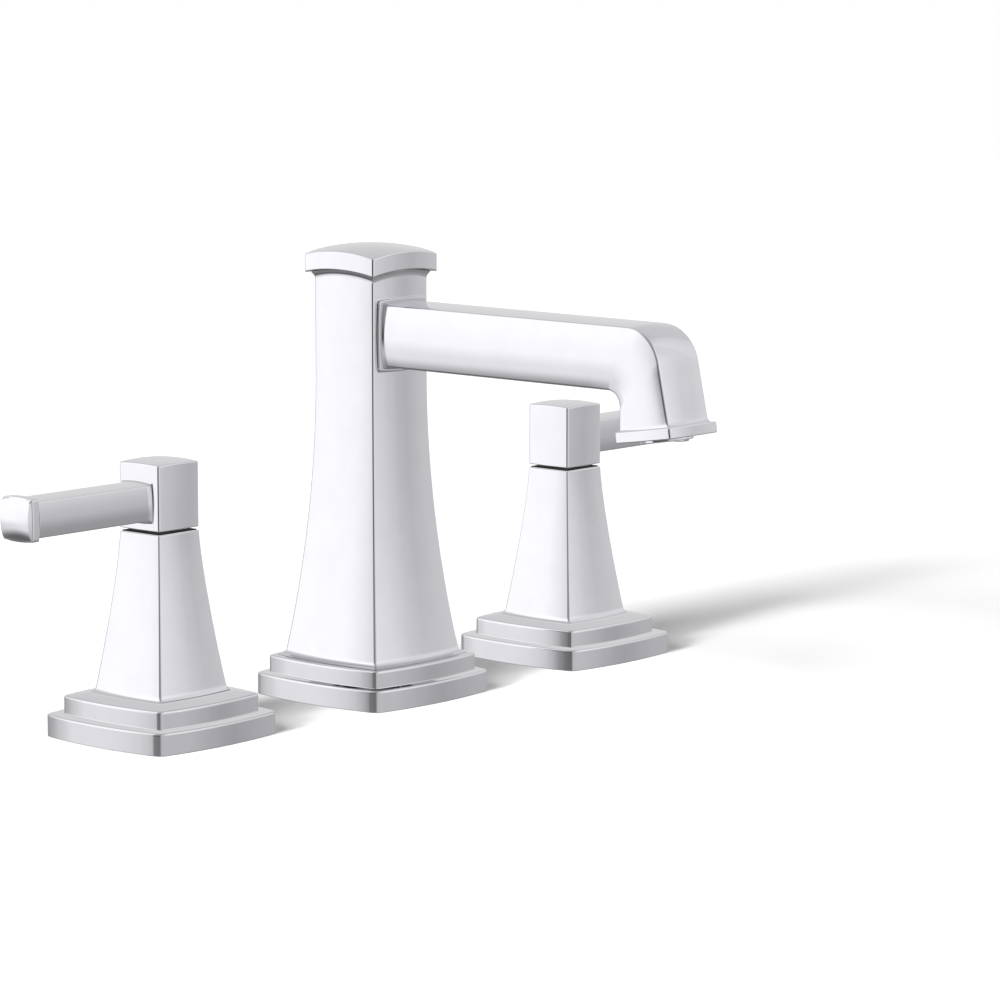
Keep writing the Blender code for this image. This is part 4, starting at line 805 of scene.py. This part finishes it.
def makeArm():
    top, bottom, root = arm["axis"] + arm["halfHeight"], arm["axis"] - arm["halfHeight"], arm["root"]
    bend, inner, lean = nose["bend"], nose["innerBend"], math.radians(nose["lean"])
    innerStart, steps = nose["back"] - nose["innerBend"], nose["barSteps"]
    sections = [armSection((-root - along, top + grow), (-root - along, bottom - grow), grow)
                for grow, along in arm["rim"]]
    for k in range(1, steps):
        outer = (-root - (nose["bendStart"] - root) * k / steps, top)
        sections.append(armSection(outer, (-root - (innerStart - root) * k / steps, bottom)))
    for k in range(nose["bendSteps"] + 1):
        share = k / nose["bendSteps"]
        outerTurn, innerTurn = share * (quarterTurn - lean), share * quarterTurn
        sections.append(armSection(
            (-nose["bendStart"] - bend * math.sin(outerTurn), top - bend * (1 - math.cos(outerTurn))),
            (-innerStart - inner * math.sin(innerTurn), bottom - inner * (1 - math.cos(innerTurn))),
            noseShare=share))
    # The nose runs down and spreads in a cove on to the flange
    outerStart = Vector((-nose["bendStart"] - bend * math.cos(lean), top - bend * (1 - math.sin(lean))))
    innerBase = Vector((-nose["back"], bottom - inner))
    front = Vector(outletPoint(0, nose["flangeLength"] - nose["lip"], nose["thick"])[1:])
    back = Vector(outletPoint(0, nose["backLip"] - nose["flangeLength"], nose["thick"])[1:])
    cove, steps = nose["cove"], nose["noseSteps"]
    straight = 1 - cove * 1.6 / (outerStart.y - front.y)
    for k in range(1, steps + 1):
        share = k / steps * straight
        sections.append(armSection(outerStart.lerp(front, share), innerBase.lerp(back, share), noseShare=1.0))
    for k in range(1, steps + 1):
        swing = k / steps * quarterTurn
        share, spread = straight + (1 - straight) * math.sin(swing) * 0.985, cove * (1 - math.cos(swing))
        outer = outerStart.lerp(front, share) + Vector((-spread, spread * 0.12))
        innerEdge = innerBase.lerp(back, share) + Vector((spread * 0.15, 0))
        sections.append(armSection(outer, innerEdge, spread * 0.75, 1.0))
    # Flange and the aerator's pocket, set out from the outlet: (growth, height, roundness, corner radius)
    wide, long, thick = nose["flangeWidth"], nose["flangeLength"], nose["thick"]
    inPocket, depth = nose["pocket"] - wide, nose["pocketDepth"]
    stations = (
        (-1.0, thick, 0, 0.0),
        (0.0, thick, 0, 0.4),
        (0.0, 0.0, 0, 0.35),
        (inPocket, 0.0, 1, 0.2),
        (inPocket, depth, 1, 0.2),
        (1.0 - wide, depth, 1, 0.0),
    )
    for grow, up, roundness in soften(stations)[1:]:
        halfLong, square = long + grow + (wide - long) * roundness, 1 - roundness
        ring = squareRing(wide + grow, halfLong, nose["endBow"] * square, nose["sideBow"] * square,
                          nose["corner"], roundness)
        sections.append(np.array([outletPoint(x, forward, up) for x, forward in ring]))
    piece = loft("spoutArm", sections, chrome)
    boolean(piece, armTool("armTenon", arm["tenon"], arm["tenonEnd"], root + arm["overlap"]), "UNION")
    dress(piece, "spout_arm")


makeArm()
print("cap and arm made")

# Aerator: a chrome ring with its insert, whose face is a wire screen
aerator = {"radius": 9.0, "wall": 1.4, "show": 1.0, "depth": 8.5, "screen": 7.3, "meshPitch": 0.95,
           "wire": 0.13, "screenHeight": 0.1, "groove": 0.25, "grooveTop": 0.4, "grooveLow": 0.2,
           "insertLow": -0.7, "ledge": 1.2, "screenRim": 1.2}


def screenTree():
    tree, given = newTree("wireScreen", ("Side", "Radius", "Wire", "Height"))
    count = int(2 * aerator["screen"] / aerator["meshPitch"])
    grid = addNode(tree, "GeometryNodeMeshGrid", None, {"Size X": given["Side"], "Size Y": given["Side"],
                                                       "Vertices X": count, "Vertices Y": count})
    place = addNode(tree, "GeometryNodeInputPosition").outputs[0]
    off = addNode(tree, "ShaderNodeVectorMath", {"operation": "LENGTH"}, {0: place})
    outside = addNode(tree, "FunctionNodeCompare", {"data_type": "FLOAT", "operation": "GREATER_THAN"},
                      {0: off.outputs["Value"], 1: given["Radius"]})
    trimmed = addNode(tree, "GeometryNodeDeleteGeometry", {"domain": "POINT"},
                      {"Geometry": grid.outputs["Mesh"], "Selection": outside.outputs[0]})
    lines = addNode(tree, "GeometryNodeMeshToCurve", None, {"Mesh": trimmed.outputs[0]})
    drawWire(tree, given, lines, "Wire", "Height", "white_acetal")
    return tree


def makeAerator():
    size = aerator
    radius, screen, depth, low = size["radius"], size["screen"], size["depth"], -size["show"]
    inside, waist, opening = radius - size["wall"], radius - size["groove"], screen - size["wall"]
    outletFrame = (Matrix.Translation(Vector(outletPoint(0, 0, 0)) * mm)
                   @ Matrix.Rotation(-math.radians(nose["tilt"]), 4, "X"))
    ring = turned("aeratorHousing", (
        (radius, depth, 0.2), (radius, size["grooveTop"], 0.2), (waist, size["grooveLow"], 0.1),
        (waist, low, 0.35), (inside, low, 0.3), (inside, depth, 0.2)), chrome)
    ring.data.transform(outletFrame)
    dress(ring, "aerator_housing")
    insert = turned("aeratorInsert", (
        (0, depth, 0), (screen, depth, 0.3), (screen, size["insertLow"], 0.25),
        (opening, size["insertLow"], 0.3), (opening, size["ledge"], 0.2), (0, size["ledge"], 0)),
        "white_acetal", wrap=False)
    runTree(insert, screenTree(), {
        "Side": 2 * screen * mm, "Radius": (screen - size["screenRim"]) * mm, "Wire": size["wire"] * mm,
        "Height": size["screenHeight"] * mm})
    insert.data.transform(outletFrame)
    dress(insert, "aerator_insert")


makeAerator()

# Handles: hub, lever, its end cap, set screw and the black bushing in the gap below. Along the lever,
# places are distances from the handle's axis; socket is the hub's hole for it (radius, start, end).
hub = {"bottom": 69.0, "half": 9.12, "bow": 0.32, "height": 21.6, "dome": 0.8, "fade": 5.0, "edge": 0.6,
       "bore": 4.2, "boreDepth": 15.3, "middle": 0.3, "domeRings": 12, "socket": (4.0, 5.5, 10.5)}
lever = {"height": 78.4, "halfWidth": 6.2, "halfHeight": 5.85, "sideBow": 0.5, "topBow": 0.4, "root": 9.55,
         "reach": 59.3, "flare": 0.85, "flareLength": 1.7, "band": 0.3, "edge": 0.45, "tenon": 3.7,
         "tenonEnd": 5.8, "peg": 3.0, "pegEnd": 60.3, "evenFrom": 2.4, "evenTo": 0.8, "evenSteps": 8}
tip = {"start": 59.6, "length": 4.8, "halfWidth": 6.95, "halfHeight": 6.8, "sideBow": 0.1, "topBow": 0.5,
       "dome": 1.8, "across": 0.22, "edge": 0.7, "soft": 0.65, "hole": 3.3, "holeEnd": 60.6, "domeRings": 19,
       "domeStart": 0.94, "domeEnd": 0.02}
screw = {"radius": 2.0, "near": 4.2, "far": 8.2, "chamfer": 0.5, "socket": 1.1, "socketDepth": 1.8,
         "hole": 2.3, "holeNear": 3.0, "sinkStart": 9.0, "sink": 2.7, "sinkEnd": 9.6}
bushing = {"radius": 6.6, "bore": 4.2, "low": 60.7, "high": 68.85, "washer": 8.75, "washerLow": 67.95,
           "washerHigh": 68.2, "edge": 0.8}


def makeHub(name, side):
    x, top, half, low = side * row["half"], hub["bottom"] + hub["height"], hub["half"], hub["bottom"]
    # (half side, height, bow, roundness, corner radius) from the bore's end over the outside
    rows = soften((
        (hub["middle"], low + hub["boreDepth"], 0, 1, 0),
        (hub["bore"], low + hub["boreDepth"], 0, 1, 0.1),
        (hub["bore"], low, 0, 1, 0.25),
        (half, low, hub["bow"], 0, 0.35),
        (half, top, hub["bow"], 0, 0.5),
        (hub["middle"], top, 0, 0, 0.0),
    ))[:-1]
    rows += [(half * k / hub["domeRings"], top, hub["bow"] * k / hub["domeRings"], 0)
             for k in range(hub["domeRings"] - 1, 0, -1)]
    skin = []
    for out, height, bow, roundness in rows:
        ring = squareRing(out, out, bow, bow, min(hub["edge"], 0.3 * out), roundness)
        lift = min(max((height - top + hub["fade"]) / hub["fade"], 0.0), 1.0)
        crown = hub["dome"] * (1 - (ring ** 2).sum(axis=1) / (2 * half * half))
        skin.append(np.column_stack((ring[:, 0] + x, ring[:, 1], height + crown * lift * lift)))
    block = loft(name + "HandleHub", skin, chrome)
    socket = plug("socket", *hub["socket"], slot=chrome)
    socket.data.transform(placing(x, lever["height"], side))
    boolean(block, socket, "DIFFERENCE")
    screwHole = turned("screwHole", (
        (0, screw["holeNear"], 0), (screw["hole"], screw["holeNear"], 0),
        (screw["hole"], screw["sinkStart"], 0), (screw["sink"], screw["sinkEnd"], 0),
        (0, screw["sinkEnd"], 0)), chrome, wrap=False)
    screwHole.data.transform(placing(x, lever["height"], -1, "X"))
    boolean(block, screwHole, "DIFFERENCE")
    dress(block, name + "_handle_hub", name + "_handle")


# Sections along a lever, from stations of (distance, growth, roundness, scale)
def leverRings(stations, side, size):
    rings = []
    for reach, grow, roundness, scale in stations:
        wide, tall = (size["halfWidth"] + grow) * scale, (size["halfHeight"] + grow) * scale
        tall += (wide - tall) * roundness
        swell = scale * (1 - roundness)
        ring = squareRing(wide, tall, size["sideBow"] * swell, size["topBow"] * swell,
                          min(size["edge"], 0.3 * wide), roundness)
        along = np.full(len(ring), side * (row["half"] + reach))
        rings.append(np.column_stack((along, ring[:, 0], ring[:, 1] + lever["height"])))
    return rings


def makeLever(name, side):
    root, reach, flare, length = lever["root"], lever["reach"], lever["flare"], lever["flareLength"]
    thin, pegThin = lever["tenon"] - lever["halfWidth"], lever["peg"] - lever["halfWidth"]
    cove = root + lever["band"]
    bar = soften((
        (lever["tenonEnd"], thin, 1, 1, 0.0),
        (root, thin, 1, 1, 0.1),
        (root, flare, 0, 1, 0.12),
        (cove, flare, 0, 1, 0.0),
        *[(cove + length * share, flare * (1 - math.sqrt(1 - (1 - share) ** 2)), 0, 1, 0.0)
          for share in (0.02, 0.08, 0.17, 0.29, 0.43, 0.58, 0.74, 0.9)],
        (cove + length, 0, 0, 1, 0.0),
        (reach, 0, 0, 1, 0.25),
        (reach, pegThin, 1, 1, 0.1),
        (lever["pegEnd"], pegThin, 1, 1, 0.0),
    ))
    # Even sections along the bar, after the last one of its root
    start, end, steps = root + lever["evenFrom"], reach - lever["evenTo"], lever["evenSteps"]
    split = [k for k, s in enumerate(bar) if cove < s[0] < start and s[2] == 0][-1]
    even = [np.array((start + (end - start) * k / steps, 0, 0, 1)) for k in range(steps + 1)]
    bar[split + 1:split + 1] = even
    dress(loft(name + "Lever", leverRings(bar, side, lever), chrome), name + "_lever", name + "_handle")


def makeTip(name, side):
    edgeLine, narrow = tip["start"] + tip["length"] - tip["dome"], tip["hole"] - tip["halfWidth"]
    # The last station only aims the edge at the dome
    skin = leverRings(soften((
        (tip["holeEnd"], narrow - 3.0, 1, 1, 0.0),
        (tip["holeEnd"], narrow, 1, 1, 0.1),
        (tip["start"], narrow, 1, 1, 0.1),
        (tip["start"], 0, 0, 1, 0.3),
        (edgeLine, 0, 0, 1, tip["soft"]),
        (edgeLine + 0.05, -0.65, 0, 1, 0.0),
    ))[:-1], side, tip)
    wide, tall = tip["halfWidth"] + tip["sideBow"], tip["halfHeight"] + tip["topBow"]
    for k in range(1, tip["domeRings"]):
        share = tip["domeStart"] * (1 - k / tip["domeRings"]) + tip["domeEnd"]
        ring = leverRings([(edgeLine, 0, 0, share)], side, tip)[0]
        across, up = ring[:, 1] / wide, (ring[:, 2] - lever["height"]) / tall
        ring[:, 0] += side * tip["dome"] * (1 - up ** 2) * (1 - tip["across"] * across ** 2)
        skin.append(ring)
    dress(loft(name + "LeverTip", skin, chrome), name + "_lever_tip", name + "_handle")


def makeSetScrew(name, side):
    near, far, radius, chamfer = screw["near"], screw["far"], screw["radius"], screw["chamfer"]
    grub = turned(name + "SetScrew", (
        (0, near, 0), (radius - chamfer, near, 0.2), (radius, near + chamfer, 0.2), (radius, far, 0.25),
        (0, far, 0)), zinc, wrap=False)
    socket = [atHeight(hexRing(screw["socket"]), height) for height in (far - screw["socketDepth"], far + 1)]
    boolean(grub, loft("hexKey", socket, zinc), "DIFFERENCE")
    grub.data.transform(placing(side * row["half"], lever["height"], -1, "X"))
    dress(grub, name + "_set_screw", name + "_handle")


# The bushing guides the stem; a thin square washer on it fills the gap under the hub
def makeBushing(name, side):
    radius, bore, low, high = (bushing[key] for key in ("radius", "bore", "low", "high"))
    washer, washerLow, washerHigh = (bushing[key] for key in ("washer", "washerLow", "washerHigh"))
    stations = ((radius, low, 1, 0.3), (radius, washerLow, 1, 0.05), (washer, washerLow, 0, 0.05),
                (washer, washerHigh, 0, 0.05), (radius, washerHigh, 1, 0.05), (radius, high, 1, 0.2),
                (bore, high, 1, 0.3), (bore, low, 1, 0.2))
    rings = []
    for half, height, roundness in soften(stations, wrap=True):
        ring = squareRing(half, half, 0, 0, min(bushing["edge"], 0.3 * half), roundness)
        rings.append(atHeight(ring, height, side * row["half"]))
    dress(loft(name + "StemBushing", rings, "black_nylon", wrap=True), name + "_stem_bushing")


for name, side in sides:
    makeHub(name, side)
    makeLever(name, side)
    makeTip(name, side)
    makeSetScrew(name, side)
    makeBushing(name, side)
print("handles made")

# Under the deck: washers, lock nuts, threaded valve bodies, tails, nipples, shank and tee
under = {"rubberTop": -20.0, "rubber": 2.0, "clamp": 1.5, "nut": 8.0, "washerRim": 5.5, "nutRim": 7.0,
         "face": 0.985, "cone": 1.08, "coneMiddle": 0.9, "coneEnd": 1.6, "boreChamfer": 0.8,
         "valveCrest": 12.7, "spoutCrest": 14.0}


def clampRings(name, crest, x):
    hole = crest + row["gap"]
    rim, top = hole + under["washerRim"], under["rubberTop"]
    for washer, thick, outer, inner, slot in (("Rubber", under["rubber"], 0.5, 0.3, "black_rubber"),
                                              ("Clamp", under["clamp"], 0.3, 0.2, zinc)):
        low = top - thick
        piece = turned(name + washer + "Washer", ((rim, top, outer), (rim, low, 0.5), (hole, low, inner),
                                                  (hole, top, inner)), slot, x=x)
        dress(piece, name + "_" + washer.lower() + "_washer")
        top = low - row["gap"]
    low = top - under["nut"]
    corner = hole + under["nutRim"]
    flat = corner * math.cos(math.pi / 6)
    # Six flats, their corners cut by a cone at both ends, then the bore with its own chamfers
    face, cone, chamfer = flat * under["face"], flat * under["cone"], under["boreChamfer"]
    middle, end = under["coneMiddle"], under["coneEnd"]
    outside = ((top, face), (top - middle, cone), (top - end, corner), (low + end, corner),
               (low + middle, cone), (low, face))
    inside = ((hole + chamfer, low, 0.0), (hole, low + chamfer, 0.2), (hole, top - chamfer, 0.2),
              (hole + chamfer, top, 0.0))
    rings = [atHeight(hexRing(flat, limit), height, x) for height, limit in outside]
    rings += [atHeight(circleRing(radius), height, x) for radius, height in soften(inside)]
    dress(loft(name + "MountingNut", rings, brass, wrap=True), name + "_mounting_nut")


# Each profile is (radius, height, corner radius). The body's heights are measured from the deck, the
# tail's from the body's lower end, and the nipple's and the boss's from the valve's axis.
valve = {
    "low": -55.1, "outlet": -42.1,
    "body": ((11.5, 17.0, 0.4), (11.5, -33.6, 0.2), (14.5, -33.6, 0.6), (14.5, -55.1, 0.6), (8.9, -55.1, 0.3),
             (8.9, -50.6, 0.2), (6.0, -50.6, 0.2), (6.0, -47.9, 0.2), (10.3, -47.9, 0.2), (10.3, 17.0, 0.3)),
    "bodyThread": (-32.4, 16.0), "boss": (8.0, 12.4, 16.0, 0.3), "bossBore": (6.3, 9.0, 18.0),
    "tail": ((8.6, 4.2, 0.3), (8.6, -0.3, 0.1), (10.3, -0.3, 0.4), (10.3, -1.8, 0.3), (9.1, -2.4, 0.2),
             (9.1, -13.5, 0.5), (6.0, -13.5, 0.4), (6.0, 4.2, 0.3)),
    "tailCrest": 10.3, "tailThread": (-11.9, -2.8),
    "nipple": ((0, 27.0, 0), (6.0, 27.0, 0.3), (6.0, 17.0, 0.1), (5.9, 10.6, 0.3), (0, 10.6, 0)),
    "collarFlat": 7.27, "collar": ((16.3, 7.2), (16.7, 8.4), (18.9, 8.4), (19.3, 7.2)),
    "nippleBore": (4.5, 9.0, 28.0), "nippleCrest": 7.0, "nippleThread": (20.2, 26.0),
}


def makeValve(name, side):
    upright, low = placing(side * row["half"]), valve["low"]
    body = turned(name + "ValveBody", valve["body"])
    for tool, operation in (("boss", "UNION"), ("bossBore", "DIFFERENCE")):
        cutter = plug(tool, *valve[tool])
        cutter.data.transform(placing(0.0, valve["outlet"], -side))
        boolean(body, cutter, operation)
    addThread(body, under["valveCrest"], *valve["bodyThread"])
    body.data.transform(upright)
    dress(body, name + "_valve_body")

    stations = [(radius, low + height, edge) for radius, height, edge in valve["tail"]]
    tail = turned(name + "InletTail", stations)
    addThread(tail, valve["tailCrest"], *(low + height for height in valve["tailThread"]))
    tail.data.transform(upright)
    dress(tail, name + "_inlet_tail")

    nipple = turned(name + "OutletNipple", valve["nipple"], wrap=False)
    collar = [atHeight(hexRing(valve["collarFlat"], limit), height) for height, limit in valve["collar"]]
    boolean(nipple, loft("collar", collar, brass), "UNION")
    boolean(nipple, plug("passage", *valve["nippleBore"]), "DIFFERENCE")
    addThread(nipple, valve["nippleCrest"], *valve["nippleThread"])
    nipple.data.transform(placing(side * row["half"], valve["outlet"], -side))
    dress(nipple, name + "_outlet_nipple")


# The spout's shank and the tee on its lower end, with heights measured from the deck
spoutFeed = {
    "shank": ((12.8, 17.0, 0.5), (12.8, -46.0, 0.3), (9.5, -46.0, 0.2), (9.5, -54.0, 0.4), (2.8, -54.0, 0.2),
              (2.8, 10.7, 0.2), (4.1, 10.7, 0.2), (4.1, 17.0, 0.3)),
    "shankThread": (-44.5, 16.0),
    "tee": ((0, -47.0, 0), (13.0, -47.0, 0.5), (13.0, -74.6, 0.8), (0, -74.6, 0)),
    "teeBores": ((6.0, -71.6, -54.0), (9.8, -55.6, -46.0)), "branchHeight": -65.1,
    "branch": (5.55, 9.5, 26.0, 0.4), "branchCrest": 6.5, "branchThread": (15.0, 25.0),
    "branchBore": (4.0, 0.0, 27.0),
}


def makeSpoutFeed():
    feed = spoutFeed
    shank = turned("spoutShank", feed["shank"])
    addThread(shank, under["spoutCrest"], *feed["shankThread"])
    dress(shank, "spout_shank")
    tee = turned("inletTee", feed["tee"], wrap=False)
    for bore in feed["teeBores"]:
        boolean(tee, plug("drill", *bore), "DIFFERENCE")
    for name, side in sides:
        branch = plug("branch", *feed["branch"])
        addThread(branch, feed["branchCrest"], *feed["branchThread"])
        for tool, operation in ((branch, "UNION"), (plug("drill", *feed["branchBore"]), "DIFFERENCE")):
            tool.data.transform(placing(0.0, feed["branchHeight"], side))
            boolean(tee, tool, operation)
    dress(tee, "inlet_tee")


for name, side in sides:
    clampRings(name, under["valveCrest"], side * row["half"])
clampRings("spout", under["spoutCrest"], 0.0)
for name, side in sides:
    makeValve(name, side)
makeSpoutFeed()
print("pieces under the deck made")

# The photograph's chrome mirrors the studio, and of the faucet only its column, cap and pad
for piece in bpy.context.scene.objects:
    if piece.type == "MESH" and piece is not floor:
        piece.visible_glossy = piece.name in ("spoutColumn", "spoutCap", "armPad")
